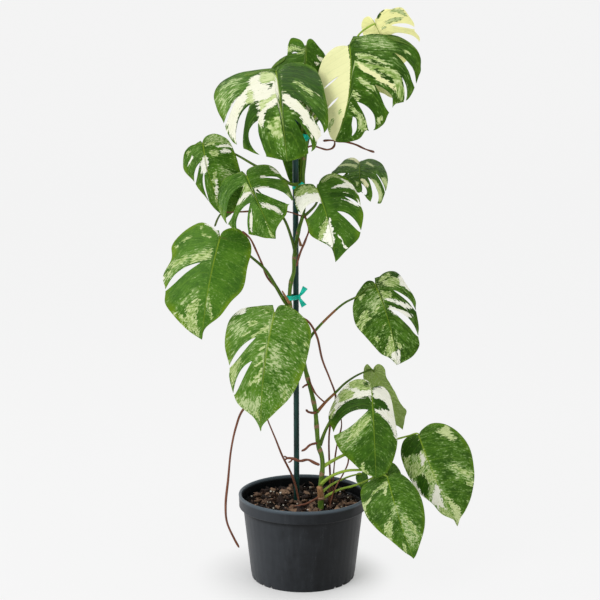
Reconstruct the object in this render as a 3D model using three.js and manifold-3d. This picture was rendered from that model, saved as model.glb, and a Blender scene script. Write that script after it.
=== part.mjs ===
// A variegated split-leaf climbing aroid in a squat nursery pot, tied to a slim cane.
// Millimetres, +Z up, the pot stands on z = 0 and the plant's front looks along -Y.

import * as THREE from "three";
import { mergeGeometries, mergeVertices } from "three/addons/utils/BufferGeometryUtils.js";
import Module from "manifold-3d";

const wasm = await Module();
wasm.setup();

// Driving dimensions

const AIR = 0.35;
const BLADE_AIR = 0.5;
const NOTCH_AIR = 1.8;

const POT = {
  height: 166,
  baseRadius: 100,
  shoulderRadius: 116,
  rimRadius: 125,
  rimDepth: 25,
  rimLip: 3.5,
  wall: 2.6,
  floor: 3,
  sides: 48,
  feet: 8,
  footSlot: [13, 3.2, 7],
};

const MIX = {
  top: 145,
  bump: 2.2,
  rings: 5,
  chips: 26,
  chipSize: [13, 8, 5],
};

const CANE = { at: [-12, 10], top: [-15, 10], foot: 25, head: 925, radius: 5.5 };

const VINE = {
  route: [
    [34, -33, 95], [34, -33, 145], [33, -33, 183], [37, -31, 226], [35.5, -31, 247],
    [29, -29, 268], [26, -26, 300], [23, -24, 335], [15, -20, 372], [5, -18, 410],
    [-7, -14, 468], [-25, -8, 536], [-23.5, -7, 577], [-18, -6.5, 597], [-17, -6, 622], [-15, -5, 643], [-8, -4, 679], [-1, -1, 704],
    [1, 3, 724], [0, 4, 752], [0, 5, 774], [2, 8, 808], [7, 7, 851], [9, 7, 880],
  ],
  footRadius: 4.7,
  topRadius: 3,
  swelling: 0.16,
  joints: 17,
};

const BLADE_THICKNESS = 0.9;
const BLADE_STATIONS = 11;
const BLADE_ROWS = [0, 0.26, 0.52, 0.77, 1];
const RIB_START = 0.3;
const RIB_SPREAD = 1.2;
const VEIN_LEAN = 0.2;
const VEIN_REACH = 0.55;

const STALK_TIP_RADIUS = 1.5;
const STALK_SEAT = { along: 3, behind: 1.8 };

// Colours

const finish = (name, colour, roughness) => {
  const material = new THREE.MeshStandardMaterial({ color: colour, roughness, metalness: 0 });
  material.name = name;
  return material;
};

const LEAF_GREEN = finish("leaf", 0x4f7434, 0.45);
const STALK_GREEN = finish("stalk", 0x6c8038, 0.5);
const ROOT_BROWN = finish("root", 0x5e4536, 0.8);
const MIX_BROWN = finish("mix", 0x3a2a20, 0.95);
const POT_BLACK = finish("pot", 0x2c2f33, 0.5);
const CANE_GREEN = finish("cane", 0x16302c, 0.4);
const TIE_TEAL = finish("tie", 0x12a394, 0.45);

// Leaves from the foot of the vine to its top. The outline of each half runs from the notch
// to the tip as [out from the midrib, along it] in percent of the leaf's length. A slit is
// [side, vein it meets the edge on, vein it starts on, how far out it starts, widest, mouth]
// and a last value closes it into a hole, all in percent.

const LEAVES = [
  {
    name: "leaf_01", stalk: [[34, -30, 160], [52, -30, 172], [73, -28, 181], [94, -26, 186],
      [117, -24, 194], [144, -22, 207], [159, -21, 213]],
    radius: 2.6, base: [160, -20, 212], tip: [186, -40, 170], faces: [0, -1, 0.6], arch: 20,
    left: [[18, -18], [42, -14], [48, 18], [34, 56], [12, 88]],
    right: [[20, -24], [44, -22], [50, 16], [36, 54], [14, 86]],
  },
  {
    name: "leaf_02", stalk: [[36, -32, 176], [53, -26, 188], [75, -8, 194], [96, 2, 199],
      [113, 7, 200]],
    radius: 2.4, base: [113, 8, 201], tip: [118, -22, 176], faces: [0, -1, 1], arch: 25,
    left: [[4, -8], [22, -8], [32, 22], [27, 56], [14, 84]],
    right: [[6, -10], [24, -6], [30, 26], [24, 60], [12, 88]],
  },
  {
    name: "leaf_03", stalk: [[34, -34, 193], [51, -38, 208], [80, -46, 222], [111, -54, 226],
      [138, -58, 224], [159, -60, 215]],
    radius: 3.4, base: [159, -60, 215], tip: [206, -120, 74], faces: [0, -1, 0.3], arch: 25,
    bow: -2, curl: [-20, -20],
    left: [[7, -5], [21, -3], [33, 2], [37, 15], [36, 37], [27, 58], [17, 73], [8, 88], [2, 96]],
    right: [[7, -2], [17, 1], [27, 15], [33, 34], [31, 55], [24, 72], [11, 89], [4, 97]],
  },
  {
    name: "leaf_04", stalk: [[36, -30, 225], [59, -26, 238], [82, -20, 248], [119, -6, 260],
      [156, 8, 266], [182, 20, 267], [206, 29, 271], [223, 23, 277]],
    radius: 3.3, base: [224, 20, 275], tip: [298, -20, 104], faces: [0, -1, 0.3], arch: 25,
    bow: -2, curl: [-20, -20],
    left: [[6, -3], [16, -1], [23, 8], [25, 21], [24, 37], [21, 54], [13, 69], [9, 82], [0, 93]],
    right: [[6, -4], [18, -6], [31, 0], [42, 14], [47, 33], [41, 57], [29, 76], [16, 88], [6, 94]],
  },
  {
    name: "leaf_05", stalk: [[32, -29, 268], [43, -28, 297], [61, -26, 328], [85, -23, 359],
      [112, -21, 376], [130, -20, 376]],
    radius: 3.4, base: [130, -20, 376], tip: [137, -75, 217], faces: [0, -1, 0.25], arch: 30,
    fold: [-5, -20], curl: [-25, -30],
    left: [[3, -9], [13, -13], [25, -10], [38, 1], [48, 17], [52, 31], [47, 46], [46, 53],
      [39, 68], [26, 81], [13, 94]],
    right: [[6, -4], [15, -4], [23, 5], [27, 26], [30, 59], [24, 80], [15, 94], [6, 99]],
    slits: [["left", 58, 51, 9, 13, 4]],
  },
  {
    name: "leaf_06", stalk: [[26, -27, 332], [43, -22, 351], [61, -12, 366], [82, 6, 382],
      [109, 24, 395], [135, 34, 401]],
    radius: 3, base: [136, 35, 400], tip: [196, 60, 275], faces: [0.3, 1, 0.5], arch: 30,
    fold: [-10, -10], curl: [-25, -25],
    left: [[6, -7], [14, -11], [19, -8], [19, 0], [14, 15], [13, 34], [13, 50], [15, 64], [19, 73],
      [11, 83], [6, 91]],
    right: [[2, -13], [8, -11], [13, -4], [18, 5], [21, 26], [20, 45], [16, 72], [13, 86], [8, 91],
      [4, 94]],
  },
  {
    name: "leaf_07", stalk: [[-6, -12, 446], [-21, -26, 481], [-38, -48, 514], [-53, -68, 531]],
    radius: 3.4, base: [-53, -70, 531], tip: [-78, -125, 320], faces: [0, -1, 0.3], arch: 25,
    bow: -3, curl: [-20, -20],
    left: [[8, -3], [18, -4], [30, -1], [37, 8], [38, 21], [36, 34], [30, 49], [29, 58],
      [24, 72], [19, 80], [7, 88], [2, 95]],
    right: [[3, -7], [10, -8], [20, -4], [31, 5], [35, 15], [35, 33], [32, 51], [24, 69],
      [12, 83], [2, 94]],
    slits: [["left", 58, 48, 29, 5, 2], ["left", 74, 62, 35, 8, 2]],
  },
  {
    name: "leaf_08", stalk: [[2, -12, 450], [17, -12, 479], [55, -4, 519], [79, 2, 538],
      [103, 6, 550], [123, 9, 565], [138, 10, 567]],
    radius: 3, base: [138, 10, 567], tip: [177, -30, 425], faces: [0.1, -1, 0.3], arch: 30,
    bow: 3, curl: [-25, -30],
    left: [[1, -8], [8, -11], [17, -6], [31, 7], [38, 20], [40, 39], [29, 63], [19, 81], [8, 90]],
    right: [[4, -8], [14, -16], [27, -19], [37, -14], [43, 6], [46, 27], [42, 39], [39, 62],
      [35, 73], [34, 85], [23, 95], [8, 99]],
    slits: [["right", 55, 38, 43, 7, 2], ["right", 73, 57, 17, 11, 2]],
  },
  {
    name: "leaf_09", stalk: [[-25, -4, 533], [-32, -8, 539], [-51, -12, 571], [-72, -16, 605],
      [-100, -20, 631], [-129, -26, 656], [-155, -29, 666]],
    radius: 3.4, base: [-155, -30, 665], tip: [-187, -85, 484], faces: [0, -1, 0.3], arch: 25,
    bow: -2, curl: [-20, -20],
    left: [[8, -10], [21, -15], [32, -9], [42, 2], [46, 13], [43, 26], [48, 45], [43, 58],
      [41, 71], [30, 82], [15, 93]],
    right: [[1, -7], [8, -13], [17, -14], [28, -6], [33, 6], [33, 23], [33, 44], [24, 59],
      [15, 75], [2, 89]],
    slits: [["left", 64, 52, 25, 7, 2]],
  },
  {
    name: "leaf_10", stalk: [[-14, -6, 631], [-21, -12, 660], [-36, -24, 701], [-61, -38, 732],
      [-85, -50, 757], [-103, -59, 782]],
    radius: 3.1, base: [-103, -60, 783], tip: [-50, -110, 674], faces: [0, -1, 0.3], arch: 40,
    bow: -2, curl: [-35, -35],
    left: [[10, -11], [24, -20], [38, -18], [51, -5], [59, 12], [56, 44], [52, 50], [45, 64],
      [33, 76], [26, 81], [14, 91]],
    right: [[3, -9], [12, -14], [24, -15], [41, -10], [50, 10], [54, 24], [50, 54], [41, 62],
      [32, 73], [14, 83], [6, 90]],
    slits: [["left", 60, 42, 13, 19, 3], ["left", 76, 62, 17, 10, 18],
      ["right", 42, 39, 37, 3, 3], ["right", 66, 53, 5, 15, 8]],
  },
  {
    name: "leaf_11", stalk: [[0, 0, 702], [11, -6, 712], [24, -16, 728], [27, -26, 745],
      [25, -34, 757]],
    radius: 3, base: [25, -35, 758], tip: [59, -90, 629], faces: [0.2, -1, 0.3], arch: 30,
    bow: 2, fold: [-5, 0], curl: [-25, -18],
    left: [[3, -8], [14, -11], [25, -9], [30, 4], [32, 22], [29, 32], [27, 41], [27, 56],
      [16, 68], [4, 79], [1, 92]],
    right: [[11, -15], [24, -20], [37, -17], [49, -2], [52, 17], [50, 31], [49, 45], [40, 67],
      [34, 76], [20, 85], [8, 94]],
    slits: [["left", 50, 48, 7, 9, 8], ["right", 53, 45, 57, 4, 2], ["right", 72, 59, 29, 9, 3]],
  },
  {
    name: "leaf_12", stalk: [[0, 4, 733], [24, 18, 739], [60, 38, 760], [89, 54, 784],
      [108, 62, 800]],
    radius: 2.7, base: [108, 60, 800], tip: [104, -12, 748], faces: [0, -0.6, 1], arch: 36,
    fold: [6, 6], curl: [-24, -24],
    left: [[7, -16], [18, -25], [31, -12], [42, 10], [51, 28], [59, 40], [54, 62], [36, 82],
      [19, 92], [8, 97]],
    right: [[8, -12], [20, -20], [34, -18], [49, 2], [57, 30], [60, 58], [57, 84], [50, 102],
      [41, 118], [31, 120], [21, 115], [13, 107], [5, 98]],
    slits: [["left", 61, 66, 36, 8, 6], ["right", 66, 54, 50, 4, 4], ["right", 83, 69, 30, 9, 14],
      ["right", 95, 84, 12, 8, 5]],
  },
  {
    name: "leaf_13", stalk: [[-8, 0, 763], [-23, -6, 764], [-40, -7, 775], [-62, -8, 787],
      [-89, -2, 798], [-118, 6, 814], [-150, 13, 830], [-172, 11, 842], [-186, 1, 842]],
    radius: 3, base: [-186, -4, 838], tip: [-144, -18, 702], faces: [-0.1, -1, 0.3], arch: 40,
    bow: -4, curl: [-30, -30],
    left: [[7, -2], [17, -4], [27, 1], [31, 13], [31, 26], [22, 42], [19, 52], [12, 70],
      [8, 84], [3, 94]],
    right: [[1, -5], [7, -10], [18, -11], [30, -3], [37, 10], [41, 30], [41, 53], [37, 72],
      [28, 86], [12, 96]],
    slits: [["left", 56, 48, 27, 5, 3], ["left", 78, 57, 17, 6, 2]],
  },
  {
    name: "leaf_14", stalk: [[0, 4, 864], [-6, -8, 897], [-24, -9, 929], [-43, -3, 956],
      [-50, -8, 969]],
    radius: 3.2, base: [-50, -10, 971], tip: [-29, -125, 816], faces: [0, -1, 0.5], arch: 50,
    fold: [2, -2], curl: [-12, -14],
    left: [[7, -3], [25, 2], [44, -2], [54, 8], [59, 23], [57, 42], [53, 55], [50, 66], [43, 80],
      [35, 86], [24, 92], [13, 96]],
    right: [[7, -12], [22, -20], [34, -13], [39, 9], [41, 39], [41, 57], [38, 74], [30, 83],
      [26, 91], [20, 95], [10, 99]],
    slits: [["left", 61, 50, 63, 2, 4], ["left", 76, 59, 49, 8, 7], ["left", 88, 71, 45, 13, 6],
      ["right", 76, 60, 33, 4, 4], ["right", 88, 75, 27, 5, 3]],
  },
  {
    name: "leaf_15", stalk: [[12, 8, 864], [42, 30, 896], [88, 44, 927], [109, 47, 955],
      [118, 46, 966]],
    radius: 2.2, base: [118, 45, 967], tip: [174, 40, 925], faces: [0.4, -1, 0.5], arch: 30,
    left: [[18, 7], [33, 12], [36, 34], [23, 57], [13, 91]],
    right: [[3, 7], [16, 26], [18, 58], [14, 90]],
  },
  {
    name: "leaf_16", stalk: [[9, 6, 881], [22, 24, 915], [44, 37, 955], [66, 26, 992],
      [80, 4, 1014], [85, -7, 1019]],
    radius: 3.4, base: [84, -10, 1017], tip: [59, -60, 846], faces: [0.1, -1, 0.25], arch: 40,
    bow: 6, fold: [-50, 0], curl: [-10, -12],
    left: [[9, -5], [20, -9], [31, -6], [43, 7], [48, 21], [43, 44], [33, 65], [23, 83], [9, 97]],
    right: [[5, -10], [16, -18], [31, -22], [47, -20], [64, -20], [75, -10], [76, 6], [71, 19],
      [65, 35], [59, 46], [54, 50], [47, 55], [43, 63], [40, 74], [32, 83], [26, 84], [22, 93],
      [10, 99]],
    slits: [["left", 54, 53, 35, 3, 0, 93], ["left", 72, 69, 39, 4, 0, 90],
      ["right", 54, 35, 63, 9, 6], ["right", 64, 51, 73, 4, 3], ["right", 72, 60, 37, 8, 6],
      ["right", 84, 74, 19, 8, 4], ["right", 92, 83, 23, 8, 0, 72]],
  },
  {
    name: "leaf_17", stalk: [[11, 9, 875], [50, 22, 925], [86, 20, 975], [92, 16, 1012],
      [101, 16, 1036], [118, 24, 1051], [133, 31, 1058]],
    radius: 2.8, base: [134, 32, 1058], tip: [177, 85, 955], faces: [0.1, -1, 0.2], arch: 35,
    fold: [-55, 0], curl: [-25, -12],
    left: [[1, -8], [6, -14], [19, -14], [31, -3], [35, 17], [24, 37], [9, 54]],
    right: [[9, -9], [23, -12], [35, -6], [48, -2], [53, 14], [56, 30], [53, 40], [54, 57],
      [47, 68], [34, 72], [17, 80]],
    slits: [["right", 50, 41, 37, 6, 3], ["right", 66, 51, 27, 12, 12]],
  },
  {
    name: "leaf_18", stalk: [[4, 12, 872], [3, 22, 930], [3, 29, 985], [5, 42, 1016], [5, 53, 1017]],
    radius: 3.2, base: [5, 55, 1014], tip: [-6, 35, 749], faces: [0, -1, 0.3], arch: 25,
    curl: [-30, -30],
    left: [[3, -5], [7, -7], [11, -7], [13, -2], [14, 7], [21, 12], [27, 17], [27, 30], [24, 48],
      [18, 66], [12, 83], [7, 95]],
    right: [[1, -6], [4, -7], [9, -2], [14, 4], [16, 15], [14, 29], [11, 47], [6, 61], [4, 75],
      [3, 89], [1, 96]],
    slits: [["left", 21, 33, 17, 2, 1.5]],
  },
];

// Aerial roots as routes with a start and an end radius.

const ROOTS = [
  { name: "root_01", radii: [2.1, 2.2], route: [[-10, -14, 482], [-24, -24, 462],
    [-46, -30, 428], [-66, -31, 392], [-78, -30, 366], [-97, -40, 355],
    [-115, -50, 340], [-127, -56, 309], [-136, -60, 267], [-142, -62, 209], [-147, -62, 160],
    [-145, -60, 126], [-132, -58, 93], [-122, -56, 73]] },
  { name: "root_02", radii: [1.8, 1.9], route: [[-18, -6, 496], [-40, -8, 468],
    [-66, -12, 420], [-77, -14, 375], [-75, -14, 337], [-67, -12, 311],
    [-52, -8, 272], [-41, -4, 242], [-23, 0, 203], [-14, 2, 176], [-8, 1, 146]] },
  { name: "root_03", radii: [2.4, 2.8], route: [[-33, -34, 244], [-21, -36, 244],
    [-6, -36, 239], [9, -35, 241], [23, -34, 234], [32, -33, 230]] },
  { name: "root_04", radii: [2.1, 2.5], route: [[-4, -36, 258], [4, -36, 262], [13, -35, 270],
    [29, -30, 273]] },
  { name: "root_05", radii: [2.2, 2.6], route: [[5, -36, 340], [9, -35, 335], [19, -32, 332],
    [25, -26, 331]] },
  { name: "root_06", radii: [1.7, 2], route: [[-2, -28, 379], [2, -27, 383], [11, -21, 386]] },
  { name: "root_07", radii: [2, 2], route: [[-12, -10, 515], [9, -18, 506], [25, -22, 480],
    [36, -24, 434], [50, -20, 397], [62, -6, 359], [60, 2, 335], [54, 2, 310], [50, -2, 280],
    [50, -10, 240], [52, -14, 200], [50, -14, 146]] },
  { name: "root_08", radii: [1.9, 1.5], route: [[10, -20, 399], [15, -26, 386], [22, -29, 371],
    [32, -32, 360], [42, -34, 352]] },
  { name: "root_09", radii: [2.4, 1.9], route: [[31, -36, 168], [17, -38, 160], [2, -37, 153],
    [-14, -38, 150], [-27, -40, 149]] },
  { name: "root_10", radii: [1.9, 1.8], route: [[36, -20, 845], [49, -18, 846], [64, -14, 844],
    [81, -10, 842], [98, -6, 837], [115, -4, 829], [133, -4, 823]] },
  { name: "root_11", radii: [1.8, 1.8], route: [[6, 4, 830], [12, -6, 834], [20, -12, 835],
    [31, -18, 832], [44, -22, 829], [54, -22, 832], [58, -19, 838], [58, -16, 845]] },
  { name: "root_12", radii: [1.6, 1.6], route: [[-1, -3, 703], [-28, -15, 713],
    [-54, -18, 715], [-84, -26, 716], [-110, -31, 715], [-132, -32, 714], [-151, -30, 712],
    [-158, -28, 703], [-165, -24, 686]] },
  { name: "root_13", radii: [2.3, 2], route: [[2, -4, 706], [11, -12, 682], [5, -15, 662],
    [-6, -16, 635], [-13, -17, 610]] },
  { name: "root_14", radii: [1.9, 1.9], route: [[-113, -42, 680], [-99, -36, 666],
    [-88, -26, 642], [-77, -14, 614], [-68, -8, 589], [-50, -2, 566], [-34, 0, 544],
    [-24, -4, 541]] },
  { name: "root_15", radii: [1.5, 1.5], route: [[72, 6, 317], [74, 4, 298], [66, 2, 263],
    [61, 0, 229], [58, -2, 190], [56, -4, 146]] },
  { name: "root_16", radii: [1.5, 1.4], route: [[84, -30, 259], [86, -32, 236], [76, -34, 212],
    [64, -34, 190], [56, -34, 170], [50, -36, 146]] },
];

// Ties: height, the vine's place there, where the knot sits, tails as short routes.

const TIE = { thick: 0.9, inner: 5.95, depth: 6.5, knot: 4.2 };
const TIES = [
  { name: "tie_lower", height: 549, vine: [-25, -8], knot: [-8, 4],
    tails: [[[0, 0, 1], [6, -3, 9], [12, -4, 19]], [[0, 0, -1], [5, -3, -9], [10, -4, -17]]] },
  { name: "tie_middle", height: 757, vine: [0, 4], knot: [-15, 2],
    tails: [[[0, 0, 1], [10, -5, 4], [17, -6, 8]]] },
  { name: "tie_upper", height: 852, vine: [7, 7], knot: [2, -1],
    tails: [[[0, 0, -1], [3, -4, -9]]] },
];

// Shared solid helpers

const toVector = (p) => new THREE.Vector3(...p);

function dropCollapsed(geometry) {
  const index = geometry.getIndex();
  const kept = [];
  for (let i = 0; i < index.count; i += 3) {
    const [a, b, c] = [index.getX(i), index.getX(i + 1), index.getX(i + 2)];
    if (a !== b && b !== c && c !== a) kept.push(a, b, c);
  }
  geometry.setIndex(kept);
  return geometry;
}

function welded(geometry, reach = 1e-3) {
  const bare = new THREE.BufferGeometry();
  bare.setAttribute("position", geometry.getAttribute("position").clone());
  if (geometry.getIndex()) bare.setIndex(geometry.getIndex().clone());
  return dropCollapsed(mergeVertices(bare, reach));
}

function toSolid(geometry) {
  const shape = welded(geometry);
  return new wasm.Manifold(new wasm.Mesh({
    numProp: 3,
    vertProperties: Float32Array.from(shape.getAttribute("position").array),
    triVerts: Uint32Array.from(shape.getIndex().array),
  }));
}

function toGeometry(solid) {
  const mesh = solid.getMesh();
  const geometry = new THREE.BufferGeometry();
  geometry.setAttribute("position", new THREE.Float32BufferAttribute(mesh.vertProperties, 3));
  geometry.setIndex([...mesh.triVerts]);
  return geometry;
}

const biggest = (pieces) => pieces
  .reduce((most, piece) => (piece.volume() > most.volume() ? piece : most));

function largestPiece(solid) {
  const best = biggest(solid.decompose()).simplify(0.03);
  return biggest(toSolid(toGeometry(best)).decompose());
}

function without(solid, ...cutters) {
  return cutters.reduce((left, cutter) => left.subtract(cutter), solid);
}

function seededNumbers(seed) {
  let state = seed;
  return () => {
    state = (state * 1664525 + 1013904223) % 4294967296;
    return state / 4294967296;
  };
}

// A closed round limb along a route

function limb(route, radiusAt, sides = 6, steps = 8) {
  const curve = new THREE.CatmullRomCurve3(route.map(toVector), false, "centripetal");
  const frames = curve.computeFrenetFrames(steps, false);
  const tube = new THREE.CylinderGeometry(1, 1, 1, sides, steps, false);
  const position = tube.getAttribute("position");
  for (let i = 0; i < position.count; i += 1) {
    const t = position.getY(i) + 0.5;
    const ring = Math.round(t * steps);
    const point = curve.getPointAt(Math.min(Math.max(t, 0), 1))
      .addScaledVector(frames.normals[ring], position.getX(i) * radiusAt(t))
      .addScaledVector(frames.binormals[ring], -position.getZ(i) * radiusAt(t));
    position.setXYZ(i, point.x, point.y, point.z);
  }
  return toSolid(tube);
}

const taper = (start, end, extra = 0) => (t) => start + (end - start) * t + extra;

// Pot, potting mix and cane

function potSolid() {
  const { height, baseRadius, shoulderRadius, rimRadius, rimDepth, rimLip, wall, floor } = POT;
  const profile = [
    [0, 0], [baseRadius - 2, 0], [baseRadius, 2], [shoulderRadius, height - rimDepth - 2],
    [rimRadius - 2, height - rimDepth], [rimRadius, height - rimLip], [rimRadius - 1.5, height],
    [rimRadius - 5, height], [rimRadius - 6.5, height - rimLip],
    [shoulderRadius - wall, height - rimDepth - 4], [baseRadius - wall, floor], [0, floor],
  ];
  const shell = new THREE.LatheGeometry(profile.map(([r, z]) => new THREE.Vector2(r, z)), POT.sides);
  shell.rotateX(Math.PI / 2);
  const body = toSolid(shell);
  const slots = [];
  for (let k = 0; k < POT.feet; k += 1) {
    const slot = new THREE.BoxGeometry(...POT.footSlot);
    slot.translate(0, baseRadius, 2);
    slot.rotateZ((k + 0.5) * 2 * Math.PI / POT.feet);
    slots.push(toSolid(slot));
  }
  return without(body, ...slots);
}

const potInnerRadius = (z) => {
  const rise = POT.height - POT.rimDepth - 4 - POT.floor;
  const grow = POT.shoulderRadius - POT.baseRadius;
  return POT.baseRadius - POT.wall + grow * Math.max(0, z - POT.floor) / rise;
};

const bumpAt = (x, y) => Math.sin(x * 0.19 + 1.3) * Math.cos(y * 0.23 - 0.4)
  + 0.6 * Math.sin(x * 0.41 - y * 0.37 + 2.1);

function mixSolid() {
  const foot = POT.floor + AIR;
  const footRadius = potInnerRadius(foot) - 1;
  const topRadius = potInnerRadius(MIX.top) - 1.4;
  const profile = [[0, foot], [footRadius, foot], [topRadius, MIX.top - 4]];
  for (let k = MIX.rings; k > 0; k -= 1) profile.push([(topRadius - 1.5) * k / MIX.rings, MIX.top]);
  profile.push([0, MIX.top]);
  const heap = new THREE.LatheGeometry(profile.map(([r, z]) => new THREE.Vector2(r, z)), 36);
  heap.rotateX(Math.PI / 2);
  const position = heap.getAttribute("position");
  for (let i = 0; i < position.count; i += 1) {
    if (position.getZ(i) > MIX.top - 1) {
      const lift = MIX.bump * bumpAt(position.getX(i), position.getY(i));
      position.setZ(i, position.getZ(i) + lift);
    }
  }
  const random = seededNumbers(41);
  let body = toSolid(heap);
  for (let k = 0; k < MIX.chips; k += 1) {
    const size = 0.6 + 0.6 * random();
    const chip = new THREE.BoxGeometry(...MIX.chipSize.map((side) => side * size));
    chip.rotateX((random() - 0.5) * 0.7);
    chip.rotateY((random() - 0.5) * 0.7);
    chip.rotateZ(random() * Math.PI);
    const reach = (topRadius - 12) * Math.sqrt(random());
    const turn = random() * 2 * Math.PI;
    const [x, y] = [reach * Math.cos(turn), reach * Math.sin(turn)];
    chip.translate(x, y, MIX.top + MIX.bump * bumpAt(x, y));
    body = body.add(toSolid(chip));
  }
  return body;
}

const caneRoute = [[...CANE.at, CANE.foot], [...CANE.top, CANE.head]];
const caneSolid = (extra = 0) => limb(caneRoute, () => CANE.radius + extra, 12, 2);

// The climbing stem with a swelling at every leaf joint

const vineRadius = (extra = 0) => (t) => {
  const beat = Math.abs(Math.sin(Math.PI * VINE.joints * t)) ** 6;
  return (VINE.footRadius + (VINE.topRadius - VINE.footRadius) * t) * (1 + VINE.swelling * beat)
    + extra;
};
const vineSolid = (extra = 0) => limb(VINE.route, vineRadius(extra), 7, 34);

// Leaf blades: veins run from the midrib to the outline, slits open between them

function halfOutline(corners) {
  const points = [[0, 0], ...corners, [100, 100]].map(([x, y]) => new THREE.Vector2(x / 100, y / 100));
  points[points.length - 1].x = 0;
  const knots = [0];
  for (let k = 1; k < points.length; k += 1) {
    knots.push(knots[k - 1] + points[k].distanceTo(points[k - 1]));
  }
  const total = knots[knots.length - 1];
  return { points, knots: knots.map((value) => value / total) };
}

function outlinePoint({ points, knots }, m) {
  const last = points.length - 1;
  let k = 0;
  while (k < last - 1 && knots[k + 1] <= m) k += 1;
  const t = Math.min(Math.max((m - knots[k]) / (knots[k + 1] - knots[k]), 0), 1);
  const [p1, p2] = [points[k], points[k + 1]];
  const p0 = points[k - 1] ?? p1.clone().multiplyScalar(2).sub(p2);
  const p3 = points[k + 2] ?? p2.clone().multiplyScalar(2).sub(p1);
  const blend = (a, b, c, d) => 0.5 * (2 * b + (c - a) * t + (2 * a - 5 * b + 4 * c - d) * t * t
    + (3 * b - a - 3 * c + d) * t * t * t);
  return new THREE.Vector2(Math.max(0, blend(p0.x, p1.x, p2.x, p3.x)), blend(p0.y, p1.y, p2.y, p3.y));
}

const ribPlace = (m) => Math.max(0, (m - RIB_START) / (1 - RIB_START)) ** RIB_SPREAD;

function veinPoint(outline, m, r) {
  const start = ribPlace(m);
  const end = outlinePoint(outline, m);
  const bend = new THREE.Vector2(VEIN_REACH * end.x, start + VEIN_LEAN * (end.y - start));
  const [a, b, c] = [(1 - r) ** 2, 2 * r * (1 - r), r * r];
  return new THREE.Vector2(b * bend.x + c * end.x, a * start + b * bend.y + c * end.y);
}

function slitShift(outline, slit, r, way) {
  const t = Math.min(1, Math.max(0, (r - slit.from) / (slit.to - slit.from)));
  const vein = slit.inner + (slit.mouth - slit.inner) * t;
  const open = slit.to < 1 && t >= 1 ? 0 : slit.gape * t + slit.widest * Math.sin(Math.PI * t) ** 0.8;
  const width = t > 0 ? Math.max(0, open) : 0;
  const ahead = veinPoint(outline, Math.min(vein + 0.02, 1), r)
    .sub(veinPoint(outline, Math.max(vein - 0.02, 0), r)).normalize();
  return veinPoint(outline, vein, r).addScaledVector(ahead, way * width / 2)
    .sub(veinPoint(outline, slit.mouth, r));
}

function bladeFrame(leaf) {
  const base = toVector(leaf.base);
  const chord = toVector(leaf.tip).sub(base);
  const along = chord.clone().normalize();
  const faces = toVector(leaf.faces);
  const up = faces.addScaledVector(along, -faces.dot(along)).normalize();
  const across = up.clone().cross(along);
  const arch = THREE.MathUtils.degToRad(leaf.arch);
  const length = chord.length() * (arch / 2) / Math.sin(arch / 2);
  return { base, along, up, across, arch, length, bow: (leaf.bow ?? 0) / 100 };
}

function placeOnLeaf(frame, fold, curl, sign, flat) {
  const { base, along, up, across, arch, length, bow } = frame;
  const held = Math.min(Math.max(flat.y, -0.3), 1.15);
  const lean = arch * (0.5 - held);
  const forward = (Math.sin(arch / 2) - Math.sin(lean)) / arch + (flat.y - held) * Math.cos(lean);
  const raised = (Math.cos(lean) - Math.cos(arch / 2)) / arch + (flat.y - held) * Math.sin(lean);
  const onRib = Math.min(Math.max(flat.y, 0), 1);
  const sideways = bow * 4 * onRib * (1 - onRib);
  const bend = curl * 2;
  const out = (Math.sin(fold + bend * flat.x) - Math.sin(fold)) / bend;
  const rise = (Math.cos(fold) - Math.cos(fold + bend * flat.x)) / bend;
  return base.clone()
    .addScaledVector(along, length * (forward - rise * Math.sin(lean)))
    .addScaledVector(up, length * (raised + rise * Math.cos(lean)))
    .addScaledVector(across, length * (sideways + sign * out));
}

function stripGeometry(stations, rows, place) {
  const strip = new THREE.PlaneGeometry(1, 1, stations.length - 1, rows.length - 1);
  const position = strip.getAttribute("position");
  rows.forEach((r, j) => stations.forEach((m, i) => {
    const point = place(m, r);
    position.setXYZ(j * stations.length + i, point.x, point.y, point.z);
  }));
  return strip;
}

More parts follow.
